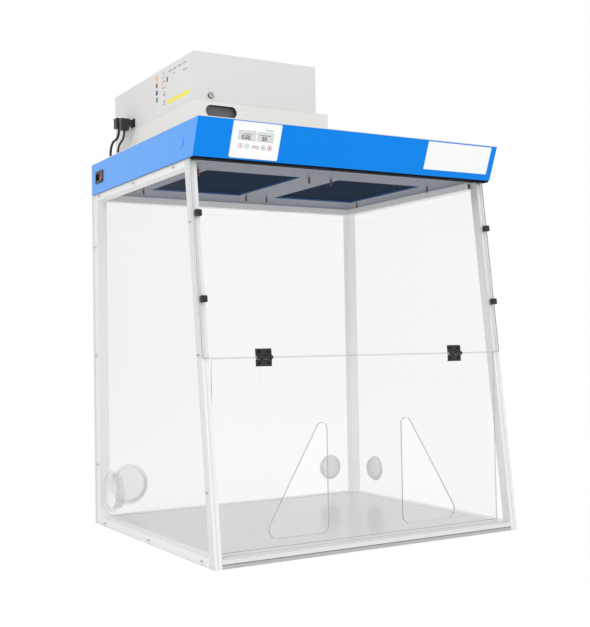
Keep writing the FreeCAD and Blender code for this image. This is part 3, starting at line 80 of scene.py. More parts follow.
# %% [markdown]
# ## Finishes
#
# Nearly every surface here is one Principled shader with a colour, a roughness and a fine relief: the
# orange peel of a paint, the texture of a mould, the lines of a die. The relief is a noise whose
# grain is given in real millimetres, so it keeps its size on every piece. Where the shine varies
# from spot to spot, the same noise also spreads the roughness.

# %% Finish helpers
def finish(name, base, roughness, more=None):
    """A material with one Principled shader. Returns the material, its tree and the shader."""
    material = bpy.data.materials.new(name)
    material.use_nodes = True
    tree = material.node_tree
    shader = tree.nodes["Principled BSDF"]
    shader.inputs["Base Color"].default_value = linear(base)
    shader.inputs["Roughness"].default_value = roughness
    for socket, value in (more or {}).items():
        shader.inputs[socket].default_value = value
    material.diffuse_color = linear(base)
    return material, tree, shader


def grain(tree, shader, size_mm, height_mm, stretch=(1, 1, 1), spread=None):
    """A fine relief of the given grain size. spread gives the lowest and highest roughness."""
    place = add(tree, "ShaderNodeTexCoord")
    scaled = add(tree, "ShaderNodeMapping", {"Scale": stretch}, {"Vector": place.outputs["Object"]})
    noise = add(
        tree, "ShaderNodeTexNoise", {"Scale": 1 / (size_mm * MM), "Detail": 3.0, "Roughness": 0.55},
        {"Vector": scaled.outputs["Vector"]},
    )
    bump = add(
        tree, "ShaderNodeBump", {"Distance": height_mm * MM, "Strength": 1.0},
        {"Height": noise.outputs["Fac"]},
    )
    tree.links.new(bump.outputs["Normal"], shader.inputs["Normal"])
    if spread:
        shine = add(
            tree, "ShaderNodeMapRange",
            {"From Min": 0.3, "From Max": 0.7, "To Min": spread[0], "To Max": spread[1]},
            {"Value": noise.outputs["Fac"]},
        )
        tree.links.new(shine.outputs["Result"], shader.inputs["Roughness"])


def grained(name, base, roughness, more, size_mm, height_mm, stretch=(1, 1, 1), spread=None):
    """A finish with a grain, as one material."""
    material, tree, shader = finish(name, base, roughness, more)
    grain(tree, shader, size_mm, height_mm, stretch, spread)
    return material


def blend(tree, shader, factor, first, second):
    """Lets the colour run from the first to the second with the factor."""
    tone = add(
        tree, "ShaderNodeMix", {"data_type": "RGBA", 6: linear(first), 7: linear(second)},
        {"Factor": factor},
    )
    tree.links.new(tone.outputs[2], shader.inputs["Base Color"])

# %% [markdown]
# ## Materials on the solids
#
# A solid is one mesh, and most pieces of the hood have one finish all over. A few have a second
# finish on some faces. Those faces are found by what they look like, their direction or their place,
# so that nothing depends on how the faces are numbered.

# %% Dress whole solids or some of their faces
def dress(material, *names):
    """Gives solids one material."""
    for name in names:
        mesh = nodes[name].data
        mesh.materials.clear()
        mesh.materials.append(material)
    print(material.name, "on", ", ".join(names))


def dress_faces(name, material, chosen):
    """Gives the chosen faces of a solid one more material."""
    mesh = nodes[name].data
    mesh.materials.append(material)
    faces = [face for face in mesh.polygons if chosen(face)]
    for face in faces:
        face.material_index = len(mesh.materials) - 1
    print(material.name, "on", len(faces), "faces of", name)

# %% [markdown]
# ## Powder coat on the header
#
# The header is folded from sheet steel and powder coated in a bright, clean blue. Powder melts into
# a smooth film with a very slight orange peel, about 2 mm from dip to dip, which spreads a lamp's
# reflection into a soft patch. Where the coat is seen at a glancing angle its colour runs towards a
# light blue, a painted sheen that stands for the reflection there. The round plug in the left side has
# the same coat, with a darker blue ring round it, painted shade of the joint.

# %% Header blue
BLUE, PAINTED_SHEEN_BLUE = "#0086EC", "#A6CFF8"
header_blue, tree, shader = finish("powder_coat_blue", BLUE, 0.40, {"Specular IOR Level": 0.12})
grain(tree, shader, 2.2, 0.05, spread=(0.36, 0.44))
# Painted sheen: the colour turns light blue at glancing angles, in place of a reflection.
glance = add(tree, "ShaderNodeLayerWeight", {"Blend": 0.5})
painted_sheen = add(
    tree, "ShaderNodeMapRange", {"From Min": 0.25, "From Max": 0.75, "To Min": 0.0, "To Max": 0.46},
    {"Value": glance.outputs["Facing"]},
)
blend(tree, shader, painted_sheen.outputs["Result"], BLUE, PAINTED_SHEEN_BLUE)
dress(header_blue, "header_shell", "blanking_plug")

POWDER = {"IOR": 1.5}
# Painted shade: a darker blue for the shaded joint round the plug.
joint_shade = grained("powder_coat_joint_shade", "#2B62B0", 0.5, POWDER, 1.6, 0.06)
nodes["blanking_plug"].data.materials.append(joint_shade)

# %% [markdown]
# ## Powder coats of the fan unit and the ceiling
#
# The fan unit and its casing have a finer, duller coat, so they get the same recipe with a smaller
# grain. The ceiling plate is grey from below. Its upright lips catch blue light from the header
# round them, and a deep blue painted on those faces stands for that light.

# %% Fan unit and ceiling
fan_grey = grained("powder_coat_light_grey", "#D7D6D5", 0.48, POWDER, 1.1, 0.10, spread=(0.44, 0.54))
casing_white = grained(
    "powder_coat_warm_white", "#DEDDDA", 0.50, POWDER, 1.1, 0.10, spread=(0.46, 0.56)
)
ceiling_grey = grained("powder_coat_ceiling_grey", "#687080", 0.42, POWDER, 1.6, 0.06)
motor_grey = grained("powder_coat_motor_grey", "#6E7277", 0.5, POWDER, 0.9, 0.08)
lip_blue_painted_light = grained("painted_blue_bounce_light", "#2C5E96", 0.42, POWDER, 1.6, 0.06)

dress(fan_grey, "fan_housing", "fan_base_plate", "outlet_grille")
dress(casing_white, "filter_casing", "header_lid")
dress(motor_grey, "fan_motor")
dress(ceiling_grey, "ceiling_plate")
UPRIGHT = 0.5
# Painted light: deep blue on the upright lips for the blue light thrown by the header.
dress_faces("ceiling_plate", lip_blue_painted_light, lambda face: abs(face.normal.z) < UPRIGHT)

# %% [markdown]
# ## Anodised aluminium
#
# The posts and rails are extruded aluminium. The front posts and the front rail have a natural matt
# anodised skin. The others get a paler, whiter and less metallic copy of it, painted light that lifts
# the parts which the lamps leave too dim. The die leaves fine lines along each length, so the noise is
# stretched along the extrusion: about 0.8 mm from line to line and 40 mm long. They are drawn a little
# coarser than real ones, so that they show at all. One material is made for each colour and direction.

# %% Extrusions
ALONG_X, ALONG_Y, ALONG_Z = (0.02, 1, 1), (1, 0.02, 1), (1, 1, 0.02)
MATT, PAINTED_LIGHT_SKIN = {"Metallic": 0.25}, {"Metallic": 0.1}


def extruded(name, base, stretch, skin=MATT):
    """Anodised aluminium with die lines along the stretched direction."""
    name = "anodised_aluminium_" + name
    return grained(name, base, 0.45, skin, 0.8, 0.01, stretch, spread=(0.36, 0.48))


dress(extruded("natural_up", "#EDEEEE", ALONG_Z), "front_post_left", "front_post_right")
# Painted light: paler, less metallic copies on the rear posts and on the back, side and top rails.
dress(extruded("painted_light_up", "#FBFBFB", ALONG_Z, PAINTED_LIGHT_SKIN), "rear_post_left", "rear_post_right")
dress(extruded("painted_light_across", "#F8F8F8", ALONG_X, PAINTED_LIGHT_SKIN), "base_rail_back", "top_rail_back")
dress(
    extruded("painted_light_back", "#FBFBFB", ALONG_Y, PAINTED_LIGHT_SKIN),
    "base_rail_left", "base_rail_right", "top_rail_left", "top_rail_right",
)

# %% [markdown]
# ## Front rail
#
# The front rail has three tones in one piece: a round bead that the light falls on, a narrow slot
# under it and a foot that stands back below the slot. Little light gets into the slot and under the
# bead, and at this size a soft light alone would hardly show that. So the foot and the slot get
# darker colours of their own, painted shade, picked by where each face lies.

# %% Front rail
rail_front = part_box("base_rail_front")[0][1]
SLOT_DEPTH, FOOT_BOTTOM, SLOT_BOTTOM, SLOT_TOP = 6 * MM, -1 * MM, 8.4 * MM, 10.1 * MM


def on_rail_front(face, bottom, top):
    """Says if a face lies at the front of the rail, between two heights."""
    return face.center.y <= rail_front + SLOT_DEPTH and bottom <= face.center.z < top


dress(extruded("natural_across", "#E2E3E3", ALONG_X), "base_rail_front")
# Painted shade: darker on the foot, darkest in the slot.
dress_faces(
    "base_rail_front", extruded("foot", "#BABCBE", ALONG_X),
    lambda face: on_rail_front(face, FOOT_BOTTOM, SLOT_BOTTOM),
)
dress_faces(
    "base_rail_front", extruded("slot", "#66686A", ALONG_X),
    lambda face: on_rail_front(face, SLOT_BOTTOM, SLOT_TOP),
)

# %% [markdown]
# ## Stainless tray and small steel parts
#
# The tray is bright annealed stainless sheet, nearly a mirror but with a fine brush along its
# length. Screw heads and hinge pins are zinc plated. The small plug in the front of the fan unit has
# a zinc plated face as well, in a black rim that is dressed with the plastics.

# %% Steel
tray_steel = grained(
    "brushed_stainless_sheet", "#E2E2E3", 0.16, {"Metallic": 0.45}, 0.7, 0.0003, (0.03, 1, 1),
    spread=(0.13, 0.18),
)
screw_steel = grained("bright_zinc_steel", "#C9CBCD", 0.36, {"Metallic": 0.8}, 0.5, 0.01)
black_screw = grained("black_oxide_steel", "#202124", 0.35, {"Metallic": 0.8}, 0.5, 0.01)

dress(tray_steel, "work_tray")
dress(screw_steel, "side_panel_screws", "hinge_pins", "sampling_plug")
dress(black_screw, "upper_hinge_screws", "lower_hinge_screws")

# %% [markdown]
# ## Clear acrylic sheet
#
# The walls are 4 mm clear cast acrylic. Light goes straight through, a little is lost in the sheet,
# and each outer face mirrors a few percent, more at a glancing angle. A true refracting shader would
# throw dark shadows inside the chamber, so the faces mix a transparent shader with a gloss whose
# share follows Fresnel's law at acrylic's index of 1.49. Only faces that look outwards get the
# gloss, and only part of it, because the white room round the hood would veil the chamber otherwise.

# %% Acrylic faces
def calc(tree, operation, values, links):
    """A maths node. Returns its result."""
    return add(tree, "ShaderNodeMath", {"operation": operation, **values}, links).outputs["Value"]


ACRYLIC_INDEX, GLOSS_KEPT = 1.49, 0.6
acrylic = bpy.data.materials.new("cast_acrylic_clear")
acrylic.use_nodes = True
tree = acrylic.node_tree
tree.nodes.remove(tree.nodes["Principled BSDF"])
through = add(tree, "ShaderNodeBsdfTransparent", {"Color": linear("#FEFEFE")})
gloss = add(tree, "ShaderNodeBsdfGlossy", {"Color": linear("#9A9A9A"), "Roughness": 0.03})
fresnel = add(tree, "ShaderNodeFresnel", {"IOR": ACRYLIC_INDEX})
side = add(tree, "ShaderNodeNewGeometry")
front_only = calc(tree, "SUBTRACT", {0: 1.0}, {1: side.outputs["Backfacing"]})
outward = calc(tree, "MULTIPLY", {}, {0: fresnel.outputs["Fac"], 1: front_only})
share = calc(tree, "MULTIPLY", {1: GLOSS_KEPT}, {0: outward})
mixed = add(
    tree, "ShaderNodeMixShader", {}, {0: share, 1: through.outputs["BSDF"], 2: gloss.outputs["BSDF"]}
)
tree.links.new(mixed.outputs["Shader"], tree.nodes["Material Output"].inputs["Surface"])
print(acrylic.name, "with", len(tree.nodes), "nodes")

# %% [markdown]
# ## Edges of the sheets
#
# A cut edge collects light that travels inside the sheet, so it reads as a thin line. There are two
# finishes. The arm holes and the upper front panel are polished, smooth and a little darker. The
# other edges are sawn, paler and dull. An edge face is one whose corners lie at different depths of
# the sheet, which also leaves out slivers between two screw holes, where a normal can't be trusted.

# %% Acrylic edges
SHEET_DEPTH = 1 * MM
FRONT_LEAN = Vector((0, -843, 98)).normalized()
SIDEWAYS, BACKWARDS = Vector((1, 0, 0)), Vector((0, 1, 0))

polished_edge = grained(
    "cast_acrylic_polished_edge", "#ABB0B2", 0.25, {"IOR": ACRYLIC_INDEX, "Alpha": 0.82}, 1.5, 0.02
)
sawn_edge = grained(
    "cast_acrylic_sawn_edge", "#DADDDE", 0.45, {"IOR": ACRYLIC_INDEX, "Alpha": 0.7}, 1.5, 0.02
)


def is_edge(name, face, normal):
    """Says if a face of a sheet crosses its thickness."""
    depths = [nodes[name].data.vertices[i].co.dot(normal) for i in face.vertices]
    return max(depths) - min(depths) >= SHEET_DEPTH


def dress_sheet(name, normal, edge):
    """Makes a sheet clear, with edges of their own material."""
    dress(acrylic, name)
    dress_faces(name, edge, lambda face: is_edge(name, face, normal))


dress_sheet("side_panel_left", SIDEWAYS, sawn_edge)
dress_sheet("side_panel_right", SIDEWAYS, sawn_edge)
dress_sheet("back_panel", BACKWARDS, sawn_edge)
dress_sheet("upper_front_panel", FRONT_LEAN, polished_edge)
dress_sheet("lower_front_panel", BACKWARDS, polished_edge)

# %% [markdown]
# ## Outer edges of the flap
#
# The flap has both kinds of edge. Those within 12 mm of its border are sawn, and those round the two
# arm holes stay polished.

# %% Outer edges of the flap
BORDER = 12 * MM
flap_points = [vertex.co for vertex in nodes["lower_front_panel"].data.vertices]
flap_sides = [(min(values), max(values)) for values in zip(*flap_points)]


def is_outer_edge(face):
    """Says if an edge face of the flap lies at its border, and not round an arm hole."""
    room = [
        min(face.center[axis] - flap_sides[axis][0], flap_sides[axis][1] - face.center[axis])
        for axis in (0, 2)
    ]
    return is_edge("lower_front_panel", face, BACKWARDS) and min(room) < BORDER


dress_faces("lower_front_panel", sawn_edge, is_outer_edge)

# %% [markdown]
# ## Moulded plastics
#
# Port caps are milky polypropylene that lets some light through. The pair at the left gets a
# lighter, clearer copy of it, painted light that makes them read paler. Knobs, hinge leaves, plugs and
# the mains inlet are black nylon with the fine spark-eroded texture of a mould, and so is the rim of
# the small plug on the fan unit. The rocker is glossy red, the pins at the ceiling are brown phenolic
# and the fan wheel is dark grey nylon.

# %% Plastics
milky = grained("milky_polypropylene", "#EEEFEF", 0.45, {"IOR": 1.49, "Alpha": 0.55}, 1.8, 0.04)
# Painted light: the left pair is lighter and clearer, so that it reads paler.
milky_painted_light = grained(
    "milky_polypropylene_painted_light", "#F4F5F5", 0.45, {"IOR": 1.49, "Alpha": 0.35}, 1.8, 0.04
)
dress(milky, "port_cap_right", "port_cap_back_right")
dress(milky_painted_light, "port_cap_left", "port_cap_back_left")

MOULDED = {"IOR": 1.53}
nylon = grained(
    "black_glass_filled_nylon", "#17181A", 0.42, MOULDED, 0.7, 0.06, spread=(0.36, 0.5)
)
dress(
    nylon, "left_hinge_upper_leaf", "right_hinge_upper_leaf", "left_hinge_lower_leaf",
    "right_hinge_lower_leaf", "panel_knob_upper_left", "panel_knob_upper_right",
    "panel_knob_lower_left", "panel_knob_lower_right", "power_module", "fan_sockets",
    "power_plug", "control_plug",
)
FORWARD = -0.9
dress_faces("sampling_plug", nylon, lambda face: face.normal.y > FORWARD)

rocker_red = grained("gloss_abs_red", "#A8262B", 0.22, MOULDED, 2.5, 0.01)
pin_brown = grained("phenolic_brown", "#7B4A2C", 0.45, {"IOR": 1.55}, 0.8, 0.04)
wheel_grey = grained("glass_filled_nylon_grey", "#34373B", 0.5, MOULDED, 0.8, 0.06)
dress(rocker_red, "power_rocker")
dress(pin_brown, "ceiling_studs")
dress(wheel_grey, "impeller")

# %% [markdown]
# ## Rubber
#
# The leads and their glands are black rubber, dull at every angle. The seal under the fascia is a
# softer silicone, darker and with hardly any shine, so it reads as a crisp dark line.

# %% Rubber
rubber = grained("black_epdm_rubber", "#141516", 0.62, {"IOR": 1.52}, 0.8, 0.05)
seal_rubber = grained(
    "black_silicone_rubber", "#0A0D14", 0.75, {"Specular IOR Level": 0.1}, 0.8, 0.05
)
dress(rubber, "lead_glands", "power_lead", "control_lead")
dress(seal_rubber, "front_seal")

# %% [markdown]
# ## Filter mats and carbon filter
#
# The mats over the ceiling openings are dark blue non-woven fleece behind a fine grid. A Voronoi
# pattern with cells of about 3 mm gives the open grid, both as a relief and as a change of tone. It
# is a little coarser than the real one. The carbon filter in the casing is a grey fibreboard frame
# round a bed of black granules, and cells of the same kind, with a deeper relief, make the granules.

# %% Fleece and granules
def cell_relief(tree, shader, cells_per_metre, height_mm):
    """A relief of small cells. Returns the pattern, to colour with."""
    place = add(tree, "ShaderNodeTexCoord")
    cells = add(
        tree, "ShaderNodeTexVoronoi", {"Scale": cells_per_metre}, {"Vector": place.outputs["Object"]}
    )
    pattern = cells.outputs["Distance"]
    bump = add(
        tree, "ShaderNodeBump", {"Distance": height_mm * MM, "Strength": 1.0}, {"Height": pattern}
    )
    tree.links.new(bump.outputs["Normal"], shader.inputs["Normal"])
    return pattern


fleece, tree, shader = finish("blue_non_woven_fleece", "#1B2636", 0.9, {"Specular IOR Level": 0.03})
blend(tree, shader, cell_relief(tree, shader, 300.0, 0.6), "#09172A", "#1A3049")
dress(fleece, "pre_filter_left", "pre_filter_right")

fibreboard = grained("coated_fibreboard_grey", "#6C6D6F", 0.6, {"IOR": 1.5}, 1.4, 0.05)
granules, tree, shader = finish("carbon_granule_bed", "#2B2C2E", 0.8, {"IOR": 1.5})
cell_relief(tree, shader, 330.0, 1.5)
FRAME_WIDTH, LEVEL = 10 * MM, 0.9
filter_low, filter_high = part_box("carbon_filter")


def is_bed(face):
    """Says if a face belongs to the bed, inside the filter's frame."""
    inside = all(
        filter_low[axis] + FRAME_WIDTH < face.center[axis] < filter_high[axis] - FRAME_WIDTH
        for axis in (0, 1)
    )
    return abs(face.normal.z) > LEVEL and inside


dress(fibreboard, "carbon_filter")
dress_faces("carbon_filter", granules, is_bed)

# %% [markdown]
# ## Display
#
# The display is a white plastic bezel round a touch glass that glows a little. What it shows is drawn
# as thin plates just above the glass. The plates sit in the plane of the leaning fascia, so one
# matrix places them all: X runs along the header, Y up the fascia and Z out of it.

# %% Fascia plane and display finishes
FASCIA_FOOT = (0, -0.2745, 0.843)
LEAN_OUT_MM, LEAN_UP_MM = 32, 79.5
fascia_lean = math.atan2(LEAN_OUT_MM, LEAN_UP_MM)
fascia = Matrix.Translation(FASCIA_FOOT) @ Matrix.Rotation(math.pi / 2 + fascia_lean, 4, "X")
print("fascia leans", round(math.degrees(fascia_lean), 1), "degrees, outward", fascia.col[2][:3])

bezel_white = grained("white_abs_satin", "#FCFCFC", 0.32, {"IOR": 1.53}, 1.5, 0.02)
dress(bezel_white, "display_bezel")

screen, tree, shader = finish("touch_glass_lit", "#F4F5F5", 0.12, {"IOR": 1.52})
shader.inputs["Emission Color"].default_value = linear("#FFFFFF")
shader.inputs["Emission Strength"].default_value = 0.08
dress(screen, "display_glass")

# %% [markdown]
# ## Thin pieces
#
# Print and lit signs have no thickness to speak of, but a flat face on top of another one flickers in
# a render. So each is a real plate of a few hundredths of a millimetre. It is made from an outline
# in millimetres, turned into the plane that it lies on, and rides on the hood.

# %% Thin plates
def ink(name, hex_colour, roughness=0.45):
    """Printing ink or a lit patch, with the faint mottle of print."""
    return grained(name, hex_colour, roughness, {"IOR": 1.5}, 1.2, 0.01)


def settle(name, mesh, plane, material):
    """Turns a mesh into its plane and lets it ride on the hood."""
    mesh.transform(plane)
    mesh.materials.clear()
    mesh.materials.append(material)
    piece = bpy.data.objects.new(name, mesh)
    bpy.context.scene.collection.objects.link(piece)
    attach(piece, "hood")
    print(name, "with", len(mesh.polygons), "faces")


def thin_plate(name, outlines, plane, rise_mm, thickness_mm, material):
    """A thin plate from one or more outlines in millimetres."""
    mesh = bpy.data.meshes.new(name)
    form = bmesh.new()
    for outline in outlines:
        low, high = [
            [form.verts.new((x * MM, y * MM, z_mm * MM)) for x, y in outline]
            for z_mm in (rise_mm, rise_mm + thickness_mm)
        ]
        form.faces.new(low[::-1])
        form.faces.new(high)
        for i in range(len(outline)):
            j = (i + 1) % len(outline)
            form.faces.new((low[i], low[j], high[j], high[i]))
    form.to_mesh(mesh)
    form.free()
    settle(name, mesh, plane, material)

# %% Outlines
def rounded(x0, y0, x1, y1, radius=0.0):
    """A rectangle's outline with round corners."""
    if radius <= 0:
        return [(x0, y0), (x1, y0), (x1, y1), (x0, y1)]
    steps = 5
    points = []
    corners = ((x1 - radius, y0 + radius, -90), (x1 - radius, y1 - radius, 0),
               (x0 + radius, y1 - radius, 90), (x0 + radius, y0 + radius, 180))
    for x, y, start in corners:
        for i in range(steps + 1):
            angle = math.radians(start + 90 * i / steps)
            points.append((x + radius * math.cos(angle), y + radius * math.sin(angle)))
    return points


def disc(x, y, radius, count=32):
    """A circle's outline."""
    angles = [2 * math.pi * i / count for i in range(count)]
    return [(x + radius * math.cos(angle), y + radius * math.sin(angle)) for angle in angles]


print("a rounded corner has", len(rounded(0, 0, 4, 4, 1)) // 4, "points, a disc", len(disc(0, 0, 1)))

# %% [markdown]
# ## Rings and numbers
#
# A ring is a strip of faces between two circles. A number is written with Blender's own font and
# turned into a mesh at once, because only meshes belong to the model.

# %% Rings and numbers
RING_POINTS, RING_THICKNESS = 40, 0.08
DIGIT_SHARE, DIGIT_EXTRUDE, DIGIT_BOLDER = 0.69, 0.03 * MM, 0.3 * MM


def ring(name, x, y, radius, width, plane, rise_mm, material):
    """A thin ring as a strip of four-sided faces."""
    mesh = bpy.data.meshes.new(name)
    form = bmesh.new()
    inner, top = radius - width, rise_mm + RING_THICKNESS
    rows = [
        [form.verts.new((px * MM, py * MM, z_mm * MM)) for px, py in disc(x, y, r, RING_POINTS)]
        for r, z_mm in ((inner, rise_mm), (inner, top), (radius, top), (radius, rise_mm))
    ]
    for a, b in ((0, 1), (1, 2), (2, 3), (3, 0)):
        for i in range(RING_POINTS):
            j = (i + 1) % RING_POINTS
            form.faces.new((rows[a][i], rows[a][j], rows[b][j], rows[b][i]))
    bmesh.ops.recalc_face_normals(form, faces=form.faces)
    form.to_mesh(mesh)
    form.free()
    settle(name, mesh, plane, material)


def number(name, text, x, y, height_mm, plane, rise_mm, material):
    """A number as a thin raised mesh, a little bolder than the font draws it."""
    curve = bpy.data.curves.new(name + "_curve", "FONT")
    curve.body = text
    curve.size = height_mm * MM / DIGIT_SHARE
    curve.align_x = "CENTER"
    curve.align_y = "CENTER"
    curve.extrude = DIGIT_EXTRUDE
    curve.offset = DIGIT_BOLDER
    writer = bpy.data.objects.new(name + "_curve", curve)
    bpy.context.scene.collection.objects.link(writer)
    bpy.context.view_layer.update()
    mesh = bpy.data.meshes.new_from_object(writer)
    bpy.data.objects.remove(writer)
    mesh.name = name
    settle(name, mesh, plane @ Matrix.Translation((x * MM, y * MM, rise_mm * MM)), material)

# %% [markdown]
# ## What the display shows
#
# Two grey tiles with a caption and a number each, a row of four round buttons with a sign in each,
# two lines of text between them and a small teal bar at the top right. The last button is filled.
# The text is only bars, because it is too small to read.

# %% Tiles and numbers
GLASS_TOP, TILE_TOP = 2.6, 2.66
TILE_THICKNESS, SIGN_THICKNESS, DIGIT_RISE, DIGIT_HEIGHT = 0.06, 0.05, 2.7, 8.2
tile_grey = ink("screen_tile_grey", "#DADCDC", 0.3)
text_grey = ink("screen_text_grey", "#75797B", 0.3)
digit_black = ink("screen_digit_black", "#2A2C2E", 0.3)

tiles = [rounded(-304, 42, -261, 64, 1.5), rounded(-258.5, 41.5, -218, 63.5, 1.5)]
thin_plate("screen_tiles", tiles, fascia, GLASS_TOP, TILE_THICKNESS, tile_grey)
captions = [rounded(-291, 55.4, -271, 56.8), rounded(-253, 55.2, -225, 56.6)]
captions += [rounded(-268, 30.8, -250, 32.2), rounded(-268, 27.4, -250, 28.8)]
captions += [rounded(-276, 44.6, -270, 45.6), rounded(-233, 44.6, -229, 45.6)]
thin_plate("screen_captions", captions, fascia, TILE_TOP, SIGN_THICKNESS, text_grey)
for label, text, x, y in (("left", "0.50", -285.3, 48.6), ("right", "50", -240.5, 48.4)):
    number("screen_number_" + label, text, x, y, DIGIT_HEIGHT, fascia, DIGIT_RISE, digit_black)

# %% Buttons and bar
BUTTON_RADIUS, BUTTON_LINE = 5.6, 1.2
button_red = ink("screen_button_red", "#C98088", 0.3)
button_green = ink("screen_button_green", "#7FB7A6", 0.3)
button_grey = ink("screen_button_grey", "#9A9C9E", 0.3)
button_pink = ink("screen_button_pink", "#F7E1E4", 0.3)
screen_teal = ink("screen_teal", "#3F7C88", 0.3)

fill = [disc(-224.6, 30.4, 5.0)]
thin_plate("screen_button_fill", fill, fascia, GLASS_TOP, SIGN_THICKNESS, button_pink)
signs = [rounded(-296.2, 27.6, -294.2, 32.8), rounded(-280.6, 27.8, -278.6, 32.6)]
signs += [rounded(-242.0, 28.2, -237.8, 29.6), rounded(-242.0, 30.6, -237.8, 32.0)]
signs += [rounded(-225.6, 27.8, -223.6, 32.8)]
thin_plate("screen_button_signs", signs, fascia, TILE_TOP, SIGN_THICKNESS, text_grey)
bar = [rounded(-238, 66.6, -221, 68.0), rounded(-240, 69.0, -238.6, 71.4)]
thin_plate("screen_status_bar", bar, fascia, GLASS_TOP, TILE_THICKNESS, screen_teal)
for label, x, y, colour in (
    ("stop", -295.2, 30.2, button_red), ("start", -279.6, 30.3, button_green),
    ("menu", -239.9, 30.1, button_grey), ("alarm", -224.6, 30.4, button_red),
):
    ring("screen_button_" + label, x, y, BUTTON_RADIUS, BUTTON_LINE, fascia, GLASS_TOP, colour)

# %% [markdown]
# ## Plate on the fascia
#
# A white vinyl plate sits at the right end of the fascia. It is bare here. At 0.6 mm it is thick
# enough to catch a thin line of light along its edge.

# %% Plate
plate_white = ink("white_vinyl", "#FBFBFB", 0.35)
thin_plate("fascia_plate", [rounded(193, 15.2, 383, 81.2, 2.0)], fascia, 0.0, 0.6, plate_white)

# %% [markdown]
# ## Printed sheet on the fan unit
#
# A printed film a quarter millimetre thick covers the front half of the fan unit's left side. It
# keeps its fields of colour: four small squares, plain outlines beside them and a yellow bar. Lines
# of text are bars here too. The plane of this side has X towards the front, Y up and Z out of it.

# %% Film and colour fields
FILM, PRINT = 0.25, 0.04
SQUARE_LEFT, SQUARE_RIGHT, SQUARE_HALF = -4, 7, 5.5
housing_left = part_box("fan_housing")[0][0]
housing_side = Matrix.Translation((housing_left, 0, 0)) @ Matrix(
    ((0, 0, -1, 0), (-1, 0, 0, 0), (0, 1, 0, 0), (0, 0, 0, 1))
)
film_white = ink("clear_coated_label_film", "#D9D8D7", 0.45)
film = [rounded(-8, 984, 196, 1080, 1.0)]
thin_plate("printed_sheet", film, housing_side, 0.0, FILM, film_white)


def printed(name, outlines, material):
    """A field of print on the film."""
    thin_plate(name, outlines, housing_side, FILM, PRINT, material)


for label, colour, height in (
    ("orange", "#EFAE33", 1071.5), ("brown", "#8A5230", 1055.0),
    ("indigo", "#33248C", 1038.0), ("green", "#3C8F55", 1021.5),
):
    square = rounded(SQUARE_LEFT, height - SQUARE_HALF, SQUARE_RIGHT, height + SQUARE_HALF)
    printed(f"sheet_square_{label}", [square], ink(f"ink_{label}", colour))
printed("sheet_bar", [rounded(59, 998.5, 182, 1007.5)], ink("ink_yellow", "#EFE04A"))

# %% Lines and outlines
line_grey = ink("ink_grey", "#85898B")
rows = [rounded(38, 1001.5 + 3 * i, 50, 1002.9 + 3 * i) for i in range(4)]
rows += [rounded(70 + 26 * i, 1070.5, 90 + 26 * i, 1073.0) for i in range(4)]
rows += [rounded(150, 1055, 172, 1057.5), rounded(96, 1061, 106, 1063)]
printed("sheet_lines", rows, line_grey)
ring("sheet_circle", 42, 1070, 8.0, 1.0, housing_side, FILM, line_grey)
printed("sheet_mark", [rounded(59, 1050, 66, 1062)], ink("ink_black", "#3A3B3D"))
frame_bars = [rounded(34, 1040, 53, 1041.3), rounded(34, 1055.7, 53, 1057)]
frame_bars += [rounded(34, 1041.3, 35.3, 1055.7), rounded(51.7, 1041.3, 53, 1055.7)]
printed("sheet_square_outline", frame_bars, ink("ink_red", "#C2434F"))
dots = [disc(44, 1031, 2.2), disc(40.5, 1024.5, 2.2), disc(47.5, 1024.5, 2.2)]
printed("sheet_dots", dots, ink("ink_dots", "#4A4B4D"))

# %% [markdown]
# ## Rounded edges
#
# Sheet metal folds round a small radius, and a moulded or extruded corner is never quite sharp, so
# such edges catch a thin line of light. The solids come with sharp corners. A weld joins their split
# points and a bevel of less than a millimetre rounds the corners, without touching the solids' own
# points. On the round plug the bevel has a darker blue, painted shade of the joint, so that it draws a
# ring.
#
# The clear sheets touch the frame, and two faces in one place confuse the light rays. They are drawn
# 0.05 mm thinner on each side. Sheets and rails with rows of screw holes get no bevel, because it
# would draw a line from hole to hole.

# %% Bevels
MERGE_DISTANCE, SHARP_CORNER = 0.01 * MM, math.radians(50)


def soften(width_mm, segments, material_index, *names, thinner_mm=0.0):
    """Joins split points, then thins and bevels the solids where asked to."""
    for name in names:
        piece = nodes[name]
        stored = piece.data.attributes.get("custom_normal")
        if stored:
            piece.data.attributes.remove(stored)
        piece.data.shade_flat()
        weld = piece.modifiers.new("join_points", "WELD")
        weld.merge_threshold = MERGE_DISTANCE
        if thinner_mm:
            shrink = piece.modifiers.new("thinner", "DISPLACE")
            shrink.strength = -thinner_mm * MM
            shrink.mid_level = 0.0
        if width_mm:
            bevel = piece.modifiers.new("rounded_corners", "BEVEL")
            bevel.width = width_mm * MM
            bevel.segments = segments
            bevel.limit_method = "ANGLE"
            bevel.angle_limit = SHARP_CORNER
            bevel.material = material_index
        print(name, "bevel", width_mm, "mm, thinner by", thinner_mm, "mm")


OWN, SECOND = -1, 1
soften(0.8, 2, OWN, "header_shell", "filter_casing", "display_bezel")
soften(0.8, 2, SECOND, "blanking_plug")
soften(0.5, 2, OWN, "base_rail_front")
soften(0.7, 1, SECOND, "upper_front_panel", "lower_front_panel", thinner_mm=0.05)
soften(0, 1, SECOND, "side_panel_left", "side_panel_right", "back_panel", thinner_mm=0.05)

# %% [markdown]
# ## White room
#
# The picture was taken on white, in soft light from all round. The world is a white sky: full white
# where the camera looks at it, straight or through a sheet, a little less in reflections, and
# dimmer where it only lights the hood, so that colours come out about as they were written.

# %% World
REFLECTED_LEVEL, LIGHTING_LEVEL = 0.85, 0.84
scene = bpy.context.scene
scene.view_settings.view_transform = "Standard"
world = bpy.data.worlds.new("studio_white")
scene.world = world
world.use_nodes = True


